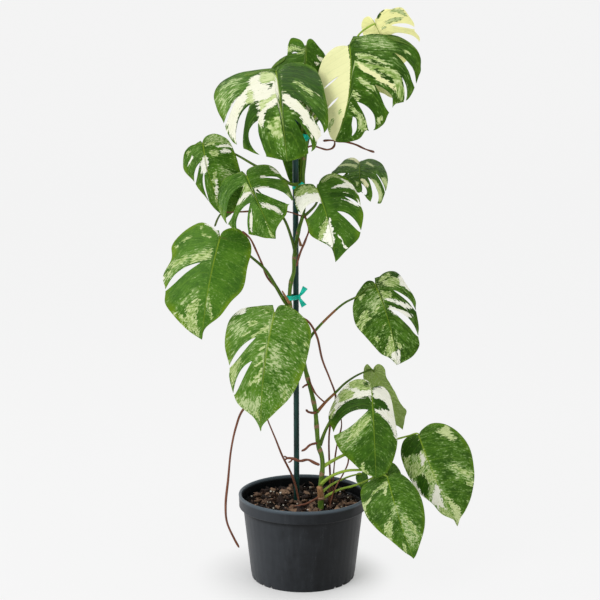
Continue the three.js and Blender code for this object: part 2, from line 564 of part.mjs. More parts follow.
function bladeSheet(leaf) {
  const frame = bladeFrame(leaf);
  const fold = (leaf.fold ?? [-6, -6]).map(THREE.MathUtils.degToRad);
  const curl = (leaf.curl ?? [-25, -25]).map(THREE.MathUtils.degToRad);
  const slits = (leaf.slits ?? []).map(([side, mouth, inner, from, widest, gape, to]) => ({
    side, mouth: mouth / 100, inner: inner / 100, from: from / 100,
    widest: widest / 100, gape: gape / 100, to: (to ?? 100) / 100,
  }));
  const plain = [...Array(BLADE_STATIONS + 1).keys()].map((k) => k / BLADE_STATIONS);
  const marks = slits.map((slit) => slit.mouth);
  const clear = (m) => marks.every((mark) => Math.abs(m - mark) > 0.4 / BLADE_STATIONS);
  const ends = plain.filter((m) => m === 0 || m === 1 || clear(m));
  const stations = [...new Set([...ends, ...marks])].sort((a, b) => a - b);
  const strips = [];
  ["left", "right"].forEach((side, number) => {
    const outline = halfOutline(leaf[side]);
    const cuts = slits.filter((slit) => slit.side === side).sort((a, b) => a.mouth - b.mouth);
    const needed = [0, 1, ...cuts.flatMap((cut) => [cut.from, cut.to])];
    const far = (r) => needed.every((value) => Math.abs(value - r) > 0.09);
    const rows = [...new Set([...needed, ...BLADE_ROWS.filter(far)])].sort((a, b) => a - b);
    const bounds = [null, ...cuts, null];
    for (let k = 0; k + 1 < bounds.length; k += 1) {
      const [first, last] = [bounds[k], bounds[k + 1]];
      const [start, end] = [first?.mouth ?? 0, last?.mouth ?? 1];
      const inside = stations.filter((m) => m >= start && m <= end);
      const strip = stripGeometry(inside, rows, (m, r) => {
        const flat = veinPoint(outline, m, r);
        const share = (m - start) / (end - start);
        if (first && r > 0) flat.addScaledVector(slitShift(outline, first, r, 1), 1 - share);
        if (last && r > 0) flat.addScaledVector(slitShift(outline, last, r, -1), share);
        flat.x = Math.max(0, flat.x);
        return placeOnLeaf(frame, fold[number], curl[number], number ? 1 : -1, flat);
      });
      if (number === 0) strip.setIndex([...strip.getIndex().array].reverse());
      strips.push(strip);
    }
  });
  return welded(mergeGeometries(strips), 0.01);
}

function thickened(sheet, thickness) {
  sheet.computeVertexNormals();
  const [position, normal] = [sheet.getAttribute("position"), sheet.getAttribute("normal")];
  const count = position.count;
  const points = [];
  for (const way of [0.5, -0.5]) {
    for (let i = 0; i < count; i += 1) {
      const point = new THREE.Vector3().fromBufferAttribute(position, i);
      const shift = new THREE.Vector3().fromBufferAttribute(normal, i);
      points.push(...point.addScaledVector(shift, way * thickness));
    }
  }
  const index = [...sheet.getIndex().array];
  const faces = [];
  const edges = new Set();
  for (let i = 0; i < index.length; i += 3) {
    const [a, b, c] = index.slice(i, i + 3);
    faces.push(a, b, c, c + count, b + count, a + count);
    for (const [from, to] of [[a, b], [b, c], [c, a]]) edges.add(`${from} ${to}`);
  }
  for (const edge of edges) {
    const [from, to] = edge.split(" ").map(Number);
    if (!edges.has(`${to} ${from}`)) {
      faces.push(to, from, from + count, to, from + count, to + count);
    }
  }
  const solid = new THREE.BufferGeometry();
  solid.setAttribute("position", new THREE.Float32BufferAttribute(points, 3));
  solid.setIndex(faces);
  return toSolid(solid);
}

// Plastic tape ties: an oval loop round cane and vine, a knot and flared tails

function tieSolid(tie, keepClear) {
  const { thick, inner, depth, knot } = TIE;
  const rise = (tie.height - CANE.foot) / (CANE.head - CANE.foot);
  const cane = [0, 1].map((axis) => CANE.at[axis] + (CANE.top[axis] - CANE.at[axis]) * rise);
  const heading = Math.atan2(tie.vine[1] - cane[1], tie.vine[0] - cane[0]);
  const oval = (radius, shape) => {
    shape.absarc(...tie.vine, radius, heading - Math.PI / 2, heading + Math.PI / 2, false);
    shape.absarc(...cane, radius, heading + Math.PI / 2, heading + 3 * Math.PI / 2, false);
    shape.closePath();
    return shape;
  };
  const ring = oval(inner + thick, new THREE.Shape());
  ring.holes.push(oval(inner, new THREE.Path()));
  const band = new THREE.ExtrudeGeometry(ring, { depth, bevelEnabled: false, curveSegments: 6 });
  band.translate(0, 0, tie.height - depth / 2);
  const bead = new THREE.SphereGeometry(knot, 8, 6);
  bead.scale(1, 0.8, 1);
  bead.translate(...tie.knot, tie.height);
  let body = toSolid(band).add(toSolid(bead));
  for (const tail of tie.tails) {
    const route = tail.map(([x, y, z]) => [tie.knot[0] + x, tie.knot[1] + y, tie.height + z]);
    body = body.add(limb(route, (t) => 1.2 + 1.6 * t, 6, 4));
  }
  return largestPiece(without(body, ...keepClear));
}

// Assembly

const plant = new THREE.Group();
plant.name = "potted_variegated_aroid";

function addPiece(name, solid, material) {
  const mesh = new THREE.Mesh(toGeometry(solid), material.clone());
  mesh.name = name;
  mesh.material.name = material.name;
  plant.add(mesh);
}

const vine = vineSolid();
const fatVine = vineSolid(AIR);
const cane = caneSolid();
const fatCane = caneSolid(AIR);

// Where a stalk meets its blade, just behind the midrib's start
function stalkSeat(leaf) {
  const { base, along, up, arch } = bladeFrame(leaf);
  const [lean, behind] = [Math.sin(arch / 2), Math.cos(arch / 2)];
  return base
    .addScaledVector(along, STALK_SEAT.along * behind + STALK_SEAT.behind * lean)
    .addScaledVector(up, STALK_SEAT.along * lean - STALK_SEAT.behind * behind);
}

const fatStalks = [];
const fatBlades = [];
for (const leaf of LEAVES) {
  const sheet = bladeSheet(leaf);
  const blade = thickened(sheet, BLADE_THICKNESS);
  const fatBlade = thickened(sheet, BLADE_THICKNESS + 2 * BLADE_AIR);
  const route = [...leaf.stalk, stalkSeat(leaf).toArray()];
  const stalkShape = (extra) => limb(route, taper(leaf.radius, STALK_TIP_RADIUS, extra), 6, 9);
  const notch = new THREE.SphereGeometry(NOTCH_AIR, 8, 6);
  notch.translate(...leaf.base);
  const stalk = largestPiece(without(stalkShape(0), fatVine, fatCane, fatBlade, toSolid(notch)));
  fatStalks.push(stalkShape(AIR));
  fatBlades.push(fatBlade);
  addPiece(`${leaf.name}_blade`, blade, LEAF_GREEN);
  addPiece(`${leaf.name}_petiole`, stalk, STALK_GREEN);
}

const fatRoots = [];
for (const root of ROOTS) {
  const steps = Math.max(5, root.route.length + 2);
  const rootShape = (extra) => limb(root.route, taper(...root.radii, extra), 5, steps);
  const keepClear = [fatVine, fatCane, ...fatStalks, ...fatBlades, ...fatRoots];
  const body = largestPiece(without(rootShape(0), ...keepClear));
  fatRoots.push(rootShape(AIR));
  addPiece(root.name, body, ROOT_BROWN);
}

for (const tie of TIES) {
  const keepClear = [fatVine, fatCane, ...fatStalks, ...fatRoots, ...fatBlades];
  addPiece(tie.name, tieSolid(tie, keepClear), TIE_TEAL);
}

addPiece("stem", vine, STALK_GREEN);
addPiece("cane", cane, CANE_GREEN);
addPiece("pot", potSolid(), POT_BLACK);
addPiece("potting_mix", largestPiece(without(mixSolid(), fatVine, fatCane, ...fatRoots)), MIX_BROWN);

export default plant;
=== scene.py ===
# A variegated split-leaf climbing aroid in a squat nursery pot, tied to a slim cane.
# It stands at the origin with +Z up and its front towards -Y. The data below is in millimetres,
# and each finished mesh is scaled to metres.

import math
import random

import bmesh
import bpy
from mathutils import Euler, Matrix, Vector, noise


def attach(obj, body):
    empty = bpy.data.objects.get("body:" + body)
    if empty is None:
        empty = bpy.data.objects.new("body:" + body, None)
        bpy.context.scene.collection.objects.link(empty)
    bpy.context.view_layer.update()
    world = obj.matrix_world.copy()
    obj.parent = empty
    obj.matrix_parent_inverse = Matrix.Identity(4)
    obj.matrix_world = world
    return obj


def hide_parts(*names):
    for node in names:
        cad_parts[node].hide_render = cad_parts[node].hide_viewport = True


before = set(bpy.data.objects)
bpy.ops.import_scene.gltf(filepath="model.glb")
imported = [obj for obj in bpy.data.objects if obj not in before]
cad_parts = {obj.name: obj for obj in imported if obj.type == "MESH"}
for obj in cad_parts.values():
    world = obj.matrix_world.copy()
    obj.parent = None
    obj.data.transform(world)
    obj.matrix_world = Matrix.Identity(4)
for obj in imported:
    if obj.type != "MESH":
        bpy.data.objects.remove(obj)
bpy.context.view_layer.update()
MM = 0.001

# Camera and light

CAMERA_PLACE = (-6, -2700, 997)
CAMERA_PITCH_DOWN = 9.53
CAMERA_LENS = 86.7
AIR_LIGHT = 0.45
BACKDROP_LEVEL = 0.925
FLOOR_LIGHT = 1.1

# The paper floor in metres: it reflects light near the pot, where the shadow falls, and fades
# to an even glow further out, sooner on the right.

SWEEP_HALF_WIDTH = 9
SWEEP_PROFILE = [(-7, 0), (4.3, 0), (4.8, 0.06), (5.2, 0.28), (5.4, 0.7), (5.45, 1.5), (5.45, 6)]
PAPER = dict(near=0.66, fade=0.60, fade_from=0.010, fade_to=0.052, right_lean=0.09)

# Pot, mix and cane. Strewn over the mix are its crumbs, its bark chips and its perlite beads.

POT = dict(height=166, base_radius=100, shoulder_radius=116, rim_radius=125, rim_depth=25,
           wall=2.6, floor=3, sides=180,
           slots=(38, 50, 68, 112, 130, 142), slot_width=4, slot_height=4.2, foot_ring=2.2,
           flutes=48)
MIX = dict(top=145, bump=2.2, gap=2.0, skirt=30, heap_cuts=14, heap_drop=3, heap_swell=2.2,
           heap_sides=96, shore=4)
LUMPS = [
    dict(count=620, sizes=(0.8, 2.0), flatness=(0.6, 1.0), finish=2, rise=0.0, crease=0.6),
    dict(count=400, sizes=(2.2, 9), flatness=(0.25, 0.55), finish=0, rise=0.14, crease=1.3),
    dict(count=95, sizes=(1.0, 3.2), flatness=(0.6, 1.0), finish=1, rise=0.9, crease=0.5),
]
CANE = dict(foot=(-12, 10, 25), head=(-15, 10, 925), radius=5.5, nub_step=21, nub_height=0.22,
            nub_sharpness=12, dome=4, dome_reach=4.05, sides=24, rows=260)

# The climbing stem, from inside the mix to its top. The scraps on it are the cut stub, the pale
# ring at the stub's foot and two dry sheaths; bark says how much of each shows its scar colours.

VINE_ROUTE = [
    (34, -33, 95), (34, -33, 145), (33, -33, 183), (37, -31, 226), (35.5, -31, 247),
    (29, -29, 268), (26, -26, 300), (23, -24, 335), (15, -20, 372), (5, -18, 410),
    (-7, -14, 468), (-25, -8, 536), (-23.5, -7, 577), (-18, -6.5, 597), (-17, -6, 622),
    (-15, -5, 643), (-8, -4, 679), (-1, -1, 704), (1, 3, 724), (0, 4, 752), (0, 5, 774),
    (2, 8, 808), (7, 7, 851), (9, 7, 880),
]
SCRAPS = [
    dict(route=[(34, -34, 166), (33, -37, 178), (30.5, -40, 190)], radii=(6.4, 5.4), ends=(0.2, 0.06),
         bark=0.35),
    dict(route=[(33.8, -34, 161.5), (33.8, -34, 169)], radii=(7.4, 7.2), ends=(0.4, 0.4), bark=0.95),
    dict(route=[(-8, -7, 664), (-6.4, -8, 656), (-4.2, -8, 647)], radii=(1.2, 3.2), ends=(0.1, 0.05),
         bark=0.1),
    dict(route=[(-40, -18, 565), (-33, -15, 552), (-25, -12, 538)], radii=(1.2, 3.4), ends=(0.1, 0.1),
         bark=0.1),
]
VINE = dict(radii=(4.7, 3), joints=17, swelling=0.16, swelling_sharpness=6,
            bulge=1.3, bulge_at=0.06, bulge_spread=0.03, ring=0.05, ring_at=0.56,
            ring_spread=0.02, top_end=0.008, sides=20, step=1.6, scrap_step=1.5)

# Blades, stalks and roots. A place on a half blade is the share m of the way round its outline
# and the share r from the midrib to that outline. ARCHED is the stretch of the leaf's length
# that bends, and the blade runs on straight past it. An edge wave is its height, its rate round
# the outline, how the leaf's number shifts it and the power of r that fades it inwards. A
# mark's border fades over MARK_SOFTNESS, least and most, in percent of the leaf's length. A
# rounded end keeps LEAST_END of its radius squared, so that its cap has a size. The stalks
# listed as painted lit, counted from 0, face up and are painted lighter, as if lit, and the
# others are painted darker, as if in shade. The welds are in mm.

BLADE_THICKNESS = 0.9
STATIONS = 84
ROWS = 20
SIDE_VEINS = 13
RIB_START = 0.3
RIB_SPREAD = 1.2
VEIN_LEAN = 0.2
VEIN_REACH = 0.55
VEIN_STEP = 0.02
SLIT_ROUNDNESS = 0.8
ARCHED = (-0.3, 1.15)
QUILT_HEIGHT = 0.45
EDGE_WAVES = [(1.6, 17, 1, 3), (0.8, 41, 2, 4)]
FULL_RIPPLE_LENGTH = 150
MARK_SOFTNESS = (1.5, 8)
MARBLE_STRENGTH = 0.8
PATTERN_STEP = 3.7
STALK_FORM = dict(tip_radius=1.5, seat_along=3, seat_behind=1.8, knee=0.35, knee_at=0.93,
                  knee_spread=0.03, sheath=0.9, sheath_run=0.06)
# pale and plain are painted shade by how a stalk faces the light; they also deepen its pores
STALK_TONE = dict(blush=0.62, foot=0.5, foot_run=0.03, pale=0.15, plain=0.58)
STALKS_PAINTED_LIT = (0, 1, 2, 3, 16)
ROOT_FORM = dict(knots=4, knot_rate=(8, 30), knot_shift=(0, 6.3), knot_size=(0.04, 0.10),
                 sides=9, step=2.4, end=0.02, tip_radius=1.9, tip_taper=0.6, tip_step=1.2,
                 tip_end=0.2)
CURVE_STEPS = 16
FIRST_SIDE = (0.3, -1, 0.1)
LEAST_END = 0.02
TUBE_WELD = 0.002
BLADE_WELD = 0.02
BAND_WELD = 0.01

# Leaves from the foot of the stem to its top. A look is how marbled a leaf is, how yellow its
# cream (below zero whiter; above one brighter, which is painted light) and how pale its green
# (above one, painted light shining through the leaf). The outline of each half runs from the
# notch to the tip as [out from the midrib, along it] in percent of the leaf's length. A slit is
# [side, vein it meets the edge on, vein it starts on, how far out it starts, widest, mouth], and
# a last value closes it into a hole, all in percent. Arch, fold and curl are degrees: along the
# leaf, at the midrib and across each half. A blush is the share of the stalk that is reddish.

LEAVES = [
    dict(name="leaf_01", stalk=[[34, -30, 160], [52, -30, 172], [73, -28, 181], [94, -26, 186],
          [117, -24, 194], [144, -22, 207], [159, -21, 213]],
        look=(0.3, 0, 0.4), radius=2.6, base=[160, -20, 212], tip=[186, -40, 170],
        faces=[0, -1, 0.6], arch=20,
        left=[[18, -18], [42, -14], [48, 18], [34, 56], [12, 88]],
        right=[[20, -24], [44, -22], [50, 16], [36, 54], [14, 86]]),
    dict(name="leaf_02", stalk=[[36, -32, 176], [53, -26, 188], [75, -8, 194], [96, 2, 199],
          [113, 7, 200]],
        look=(0.3, 0, 0.8), radius=2.4, base=[113, 8, 201], tip=[118, -22, 176],
        faces=[0, -1, 1], arch=25,
        left=[[4, -8], [22, -8], [32, 22], [27, 56], [14, 84]],
        right=[[6, -10], [24, -6], [30, 26], [24, 60], [12, 88]]),
    dict(name="leaf_03", stalk=[[34, -34, 193], [51, -38, 208], [80, -46, 222], [111, -54, 226],
          [138, -58, 224], [159, -60, 215]],
        look=(0.4, 0, 0.3), radius=3.4, base=[159, -60, 215], tip=[206, -120, 74],
        faces=[0, -1, 0.3], arch=25, bow=-2, curl=[-20, -20],
        left=[[7, -5], [21, -3], [33, 2], [37, 15], [36, 37], [27, 58], [17, 73], [8, 88], [2, 96]],
        right=[[7, -2], [17, 1], [27, 15], [33, 34], [31, 55], [24, 72], [11, 89], [4, 97]]),
    dict(name="leaf_04", stalk=[[36, -30, 225], [59, -26, 238], [82, -20, 248], [119, -6, 260],
          [156, 8, 266], [182, 20, 267], [206, 29, 271], [223, 23, 277]],
        look=(0.4, 0, 0.25), radius=3.3, base=[224, 20, 275], tip=[298, -20, 104],
        faces=[0, -1, 0.3], arch=25, bow=-2, curl=[-20, -20],
        left=[[6, -3], [16, -1], [23, 8], [25, 21], [24, 37], [21, 54], [13, 69], [9, 82], [0, 93]],
        right=[[6, -4], [18, -6], [31, 0], [42, 14], [47, 33], [41, 57], [29, 76], [16, 88], [6, 94]]),
    dict(name="leaf_05", stalk=[[32, -29, 268], [43, -26, 297], [61, -19, 328], [85, -12, 359],
          [112, -11, 376], [126, -15, 377]],
        look=(0.25, -0.5, 0.3), radius=3.4, base=[130, -20, 376], tip=[137, -75, 217],
        faces=[0, -1, 0.25], arch=30, fold=[-5, -20], curl=[-25, -30],
        left=[[3, -9], [13, -13], [25, -10], [38, 1], [48, 17], [52, 31], [47, 46], [46, 53],
          [39, 68], [26, 81], [13, 94]],
        right=[[6, -4], [15, -4], [23, 5], [27, 26], [30, 59], [24, 80], [15, 94], [6, 99]],
        slits=[["left", 58, 51, 9, 13, 4]]),
    # Its green is paled past one: painted light shining through this shaded leaf, seen from below.
    dict(name="leaf_06", blush=(0.03, 0.32),
        stalk=[[26, -27, 332], [43, -22, 351], [61, -12, 366], [82, 6, 382],
          [109, 24, 395], [135, 34, 401]],
        look=(1.0, 0.2, 1.9), radius=3, base=[136, 35, 400], tip=[196, 60, 275],
        faces=[0.3, 1, 0.5], arch=30, fold=[-10, -10], curl=[-25, -25],
        left=[[6, -7], [14, -11], [19, -8], [19, 0], [14, 15], [13, 34], [13, 50], [15, 64],
          [19, 73], [11, 83], [6, 91]],
        right=[[2, -13], [8, -11], [13, -4], [18, 5], [21, 26], [20, 45], [16, 72], [13, 86],
          [8, 91], [4, 94]]),
    # Its marbling is raised so that it also paints the bluish sheen along the midrib.
    dict(name="leaf_07", stalk=[[-6, -12, 446], [-21, -26, 481], [-38, -48, 514], [-53, -68, 531]],
        look=(0.62, 0, 0.7), radius=3.4, base=[-53, -70, 531], tip=[-78, -125, 320],
        faces=[0, -1, 0.3], arch=25, bow=-3, curl=[-20, -20],
        left=[[8, -3], [18, -4], [30, -1], [37, 8], [38, 21], [36, 34], [30, 49], [29, 58],
          [24, 72], [19, 80], [7, 88], [2, 95]],
        right=[[3, -7], [10, -8], [20, -4], [31, 5], [35, 15], [35, 33], [32, 51], [24, 69],
          [12, 83], [2, 94]],
        slits=[["left", 58, 48, 29, 5, 2], ["left", 74, 62, 35, 8, 2]]),
    dict(name="leaf_08", blush=(0.32, 0.52),
        stalk=[[2, -12, 450], [17, -12, 479], [55, -4, 519], [79, 2, 538],
          [103, 6, 550], [123, 9, 565], [138, 10, 567]],
        look=(0.45, -0.5, 0), radius=3, base=[138, 10, 567], tip=[177, -30, 425],
        faces=[0.1, -1, 0.3], arch=30, bow=3, curl=[-25, -30],
        left=[[1, -8], [8, -11], [17, -6], [31, 7], [38, 20], [40, 39], [29, 63], [19, 81], [8, 90]],
        right=[[4, -8], [14, -16], [27, -19], [37, -14], [43, 6], [46, 27], [42, 39], [39, 62],
          [35, 73], [34, 85], [23, 95], [8, 99]],
        slits=[["right", 55, 38, 43, 7, 2], ["right", 73, 57, 17, 11, 2]]),
    dict(name="leaf_09", stalk=[[-25, -4, 533], [-32, -8, 539], [-51, -12, 571], [-72, -16, 605],
          [-100, -20, 631], [-129, -26, 656], [-155, -29, 666]],
        look=(0.25, 0, 0.8), radius=3.9, base=[-155, -30, 665], tip=[-187, -85, 484],
        faces=[0, -1, 0.3], arch=25, bow=-2, curl=[-20, -20],
        left=[[8, -10], [21, -15], [32, -9], [42, 2], [46, 13], [43, 26], [48, 45], [43, 58],
          [41, 71], [30, 82], [15, 93]],
        right=[[1, -7], [8, -13], [17, -14], [28, -6], [33, 6], [33, 23], [33, 44], [24, 59],
          [15, 75], [2, 89]],
        slits=[["left", 64, 52, 25, 7, 2]]),
    dict(name="leaf_10", stalk=[[-14, -6, 631], [-21, -12, 660], [-36, -24, 701], [-61, -38, 732],
          [-85, -50, 757], [-103, -59, 782]],
        look=(0.35, 0, 0.6), radius=3.1, base=[-103, -60, 783], tip=[-50, -110, 674],
        faces=[0, -1, 0.3], arch=40, bow=-2, curl=[-35, -35],
        left=[[10, -11], [24, -20], [38, -18], [51, -5], [59, 12], [56, 44], [52, 50], [45, 64],
          [33, 76], [26, 81], [14, 91]],
        right=[[3, -9], [12, -14], [24, -15], [41, -10], [50, 10], [54, 24], [50, 54], [41, 62],
          [32, 73], [14, 83], [6, 90]],
        slits=[["left", 60, 42, 13, 19, 3], ["left", 76, 62, 17, 10, 18],
          ["right", 42, 39, 37, 3, 3], ["right", 66, 53, 5, 15, 8]]),
    dict(name="leaf_11", stalk=[[0, 0, 702], [11, -6, 712], [24, -16, 728], [27, -26, 745],
          [25, -34, 757]],
        look=(0.15, -1, 0.45), radius=3, base=[25, -35, 758], tip=[59, -90, 629],
        faces=[0.2, -1, 0.3], arch=30, bow=2, fold=[-5, 0], curl=[-25, -18],
        left=[[3, -8], [14, -11], [25, -9], [30, 4], [32, 22], [29, 32], [27, 41], [27, 56],
          [16, 68], [4, 79], [1, 92]],
        right=[[11, -15], [24, -20], [37, -17], [49, -2], [52, 17], [50, 31], [49, 45], [40, 67],
          [34, 76], [20, 85], [8, 94]],
        slits=[["left", 50, 48, 7, 9, 8], ["right", 53, 45, 57, 4, 2], ["right", 72, 59, 29, 9, 3]]),
    dict(name="leaf_12", stalk=[[0, 4, 733], [24, 18, 739], [60, 38, 760], [89, 54, 784],
          [108, 62, 800]],
        look=(0.35, 0.6, 0.25), radius=2.7, base=[108, 60, 800], tip=[104, -12, 748],
        faces=[0, -0.6, 1], arch=36, fold=[6, 6], curl=[-24, -24],
        left=[[7, -16], [18, -25], [31, -12], [42, 10], [51, 28], [59, 40], [54, 62], [36, 82],
          [19, 92], [8, 97]],
        right=[[8, -12], [20, -20], [34, -18], [49, 2], [57, 30], [60, 58], [57, 84], [50, 102],
          [41, 118], [31, 120], [21, 115], [13, 107], [5, 98]],
        slits=[["left", 61, 66, 36, 8, 6], ["right", 66, 54, 50, 4, 4],
          ["right", 83, 69, 30, 9, 14], ["right", 95, 84, 12, 8, 5]]),
    dict(name="leaf_13", stalk=[[-8, 0, 763], [-23, -6, 764], [-40, -7, 775], [-62, -8, 787],
          [-89, -2, 798], [-118, 6, 814], [-150, 13, 830], [-172, 11, 842], [-186, 1, 842]],
        look=(0.35, -0.4, 0.4), radius=3, base=[-186, -4, 838], tip=[-144, -18, 702],
        faces=[-0.1, -1, 0.3], arch=40, bow=-4, curl=[-30, -30],
        left=[[7, -2], [17, -4], [27, 1], [31, 13], [31, 26], [22, 42], [19, 52], [12, 70],
          [8, 84], [3, 94]],
        right=[[1, -5], [7, -10], [18, -11], [30, -3], [37, 10], [41, 30], [41, 53], [37, 72],
          [28, 86], [12, 96]],
        slits=[["left", 56, 48, 27, 5, 3], ["left", 78, 57, 17, 6, 2]]),
    dict(name="leaf_14", stalk=[[0, 4, 864], [-6, -8, 897], [-24, -9, 929], [-43, -3, 956],
          [-50, -8, 969]],
        look=(0.3, 0.1, 0.15), radius=3.2, base=[-50, -10, 971], tip=[-29, -125, 816],
        faces=[0, -1, 0.5], arch=50, fold=[2, -2], curl=[-12, -14],
        left=[[7, -3], [25, 2], [44, -2], [54, 8], [59, 23], [57, 42], [53, 55], [50, 66], [43, 80],
          [35, 86], [24, 92], [13, 96]],
        right=[[7, -12], [22, -20], [34, -13], [39, 9], [41, 39], [41, 57], [38, 74], [30, 83],
          [26, 91], [20, 95], [10, 99]],
        slits=[["left", 61, 50, 63, 2, 4], ["left", 76, 59, 49, 8, 7], ["left", 88, 71, 45, 13, 6],
          ["right", 76, 60, 33, 4, 4], ["right", 88, 75, 27, 5, 3]]),
    dict(name="leaf_15", stalk=[[12, 8, 864], [42, 30, 896], [88, 44, 927], [109, 47, 955],
          [118, 46, 966]],
        look=(0.1, 0.9, 0), radius=2.2, base=[118, 45, 967], tip=[174, 40, 925],
        faces=[0.4, -1, 0.5], arch=30,
        left=[[18, 7], [33, 12], [36, 34], [23, 57], [13, 91]],
        right=[[3, 7], [16, 26], [18, 58], [14, 90]]),
    dict(name="leaf_16", stalk=[[9, 6, 881], [22, 24, 915], [44, 37, 955], [66, 26, 992],
          [80, 4, 1014], [85, -7, 1019]],
        look=(0.2, 0.8, 0.05), radius=3.4, base=[84, -10, 1017], tip=[59, -60, 846],
        faces=[0.1, -1, 0.25], arch=40, bow=6, fold=[-50, 0], curl=[-10, -12],
        left=[[9, -5], [20, -9], [31, -6], [43, 7], [48, 21], [43, 44], [33, 65], [23, 83], [9, 97]],
        right=[[5, -10], [16, -18], [31, -22], [47, -20], [64, -20], [75, -10], [76, 6], [71, 19],
          [65, 35], [59, 46], [54, 50], [47, 55], [43, 63], [40, 74], [32, 83], [26, 84], [22, 93],
          [10, 99]],
        slits=[["left", 54, 53, 35, 3, 0, 93], ["left", 72, 69, 39, 4, 0, 90],
          ["right", 54, 35, 63, 9, 6], ["right", 64, 51, 73, 4, 3], ["right", 72, 60, 37, 8, 6],
          ["right", 84, 74, 19, 8, 4], ["right", 92, 83, 23, 8, 0, 72]]),
    # Its cream is brightened past one: painted light, as the lamps reach this top leaf too little.
    dict(name="leaf_17", stalk=[[11, 9, 875], [50, 22, 925], [86, 20, 975], [92, 16, 1012],
          [101, 16, 1036], [118, 24, 1051], [133, 31, 1058]],
        look=(0.2, 1.95, 0), radius=2.8, base=[134, 32, 1058], tip=[177, 85, 955],
        faces=[0.1, -1, 0.2], arch=35, fold=[-55, 0], curl=[-25, -12],
        left=[[1, -8], [6, -14], [19, -14], [31, -3], [35, 17], [24, 37], [9, 54]],
        right=[[9, -9], [23, -12], [35, -6], [48, -2], [53, 14], [56, 30], [53, 40], [54, 57],
          [47, 68], [34, 72], [17, 80]],
        slits=[["right", 50, 41, 37, 6, 3], ["right", 66, 51, 27, 12, 12]]),
    dict(name="leaf_18", stalk=[[4, 12, 872], [3, 22, 930], [3, 29, 985], [5, 42, 1016], [5, 53, 1017]],
        look=(0.2, 0.3, 0.05), radius=3.2, base=[5, 55, 1014], tip=[-6, 35, 749],
        faces=[0, -1, 0.3], arch=25, curl=[-30, -30],
        left=[[3, -5], [7, -7], [11, -7], [13, -2], [14, 7], [21, 12], [27, 17], [27, 30], [24, 48],
          [18, 66], [12, 83], [7, 95]],
        right=[[1, -6], [4, -7], [9, -2], [14, 4], [16, 15], [14, 29], [11, 47], [6, 61], [4, 75],
          [3, 89], [1, 96]],
        slits=[["left", 21, 33, 17, 2, 1.5]]),
]

# Aerial roots as routes with a start and an end radius; green_from is how far along one turns green

ROOTS = [
    dict(name="root_01", radii=[2.1, 2.2], route=[[-10, -14, 482], [-24, -24, 462],
        [-46, -30, 428], [-66, -31, 392], [-78, -30, 366], [-97, -40, 355],
        [-115, -50, 340], [-127, -56, 309], [-136, -60, 267], [-142, -62, 209], [-147, -62, 160],
        [-145, -60, 126], [-132, -58, 93], [-122, -56, 73]]),
    dict(name="root_02", radii=[1.8, 1.9], route=[[-18, -6, 496], [-40, -8, 468],
        [-66, -12, 420], [-77, -14, 375], [-75, -14, 337], [-67, -12, 311],
        [-52, -8, 272], [-41, -4, 242], [-23, 0, 203], [-14, 2, 176], [-8, 1, 146]]),
    dict(name="root_03", radii=[2.4, 2.8], route=[[-33, -34, 244], [-21, -36, 244],
        [-6, -36, 239], [9, -35, 241], [23, -34, 234], [32, -33, 230]],
        tips=[[[-20, -36, 244], [-24, -37, 238], [-29, -36, 236]],
              [[-30, -34, 244], [-34, -35, 247], [-37, -35, 248]],
              [[-30, -34, 244], [-35, -34, 241], [-39, -34, 243]]]),
    dict(name="root_04", radii=[2.1, 2.5], route=[[-4, -36, 258], [4, -36, 262], [13, -35, 270],
        [29, -30, 273]]),
    dict(name="root_05", radii=[2.2, 2.6], route=[[5, -36, 340], [9, -35, 335], [19, -32, 332],
        [25, -26, 331]]),
    dict(name="root_06", radii=[1.7, 2], route=[[-2, -28, 379], [2, -27, 383], [11, -21, 386]]),
    dict(name="root_07", radii=[2, 2], route=[[-12, -10, 515], [9, -18, 506], [25, -22, 480],
        [36, -24, 434], [50, -20, 397], [62, -6, 359], [60, 2, 335], [54, 2, 310], [50, -2, 280],
        [50, -10, 240], [52, -14, 200], [50, -14, 146]]),
    dict(name="root_08", radii=[1.9, 1.5], route=[[10, -20, 399], [15, -26, 386], [22, -29, 371],
        [32, -32, 360], [42, -34, 352]]),
    dict(name="root_09", radii=[2.4, 1.9], route=[[31, -36, 168], [17, -38, 160], [2, -37, 153],
        [-14, -38, 150], [-27, -40, 149]]),
    dict(name="root_10", radii=[1.9, 1.8], route=[[36, -20, 845], [49, -18, 846], [64, -14, 844],
        [81, -10, 842], [98, -6, 837], [115, -4, 829], [133, -4, 823]]),
    dict(name="root_11", radii=[1.8, 1.8], route=[[6, 4, 830], [12, -6, 834], [20, -12, 835],
        [31, -18, 832], [44, -22, 829], [54, -22, 832], [58, -19, 838], [58, -16, 845]]),
    dict(name="root_12", radii=[1.6, 1.6], green_from=152, route=[[-1, -3, 703], [-28, -15, 713],
        [-54, -18, 715], [-84, -26, 716], [-110, -31, 715], [-132, -32, 714], [-151, -30, 712],
        [-158, -28, 703], [-165, -24, 686]]),
    dict(name="root_13", radii=[2.3, 2], route=[[2, -4, 706], [11, -12, 682], [5, -15, 662],
        [-6, -16, 635], [-13, -17, 610]]),
    dict(name="root_14", radii=[1.9, 1.9], route=[[-113, -42, 680], [-99, -36, 666],
        [-88, -26, 642], [-77, -14, 614], [-68, -8, 589], [-50, -2, 566], [-34, 0, 544],
        [-24, -4, 541]]),
    dict(name="root_15", radii=[1.5, 1.5], route=[[72, 6, 317], [74, 4, 298], [66, 2, 263],
        [61, 0, 229], [58, -2, 190], [56, -4, 146]]),
    dict(name="root_16", radii=[1.5, 1.4], route=[[84, -30, 259], [86, -32, 236], [76, -34, 212],
        [64, -34, 190], [56, -34, 170], [50, -36, 146]]),
]

# Marks on the blades: a tone and its closed outline in percent, left of the midrib below zero

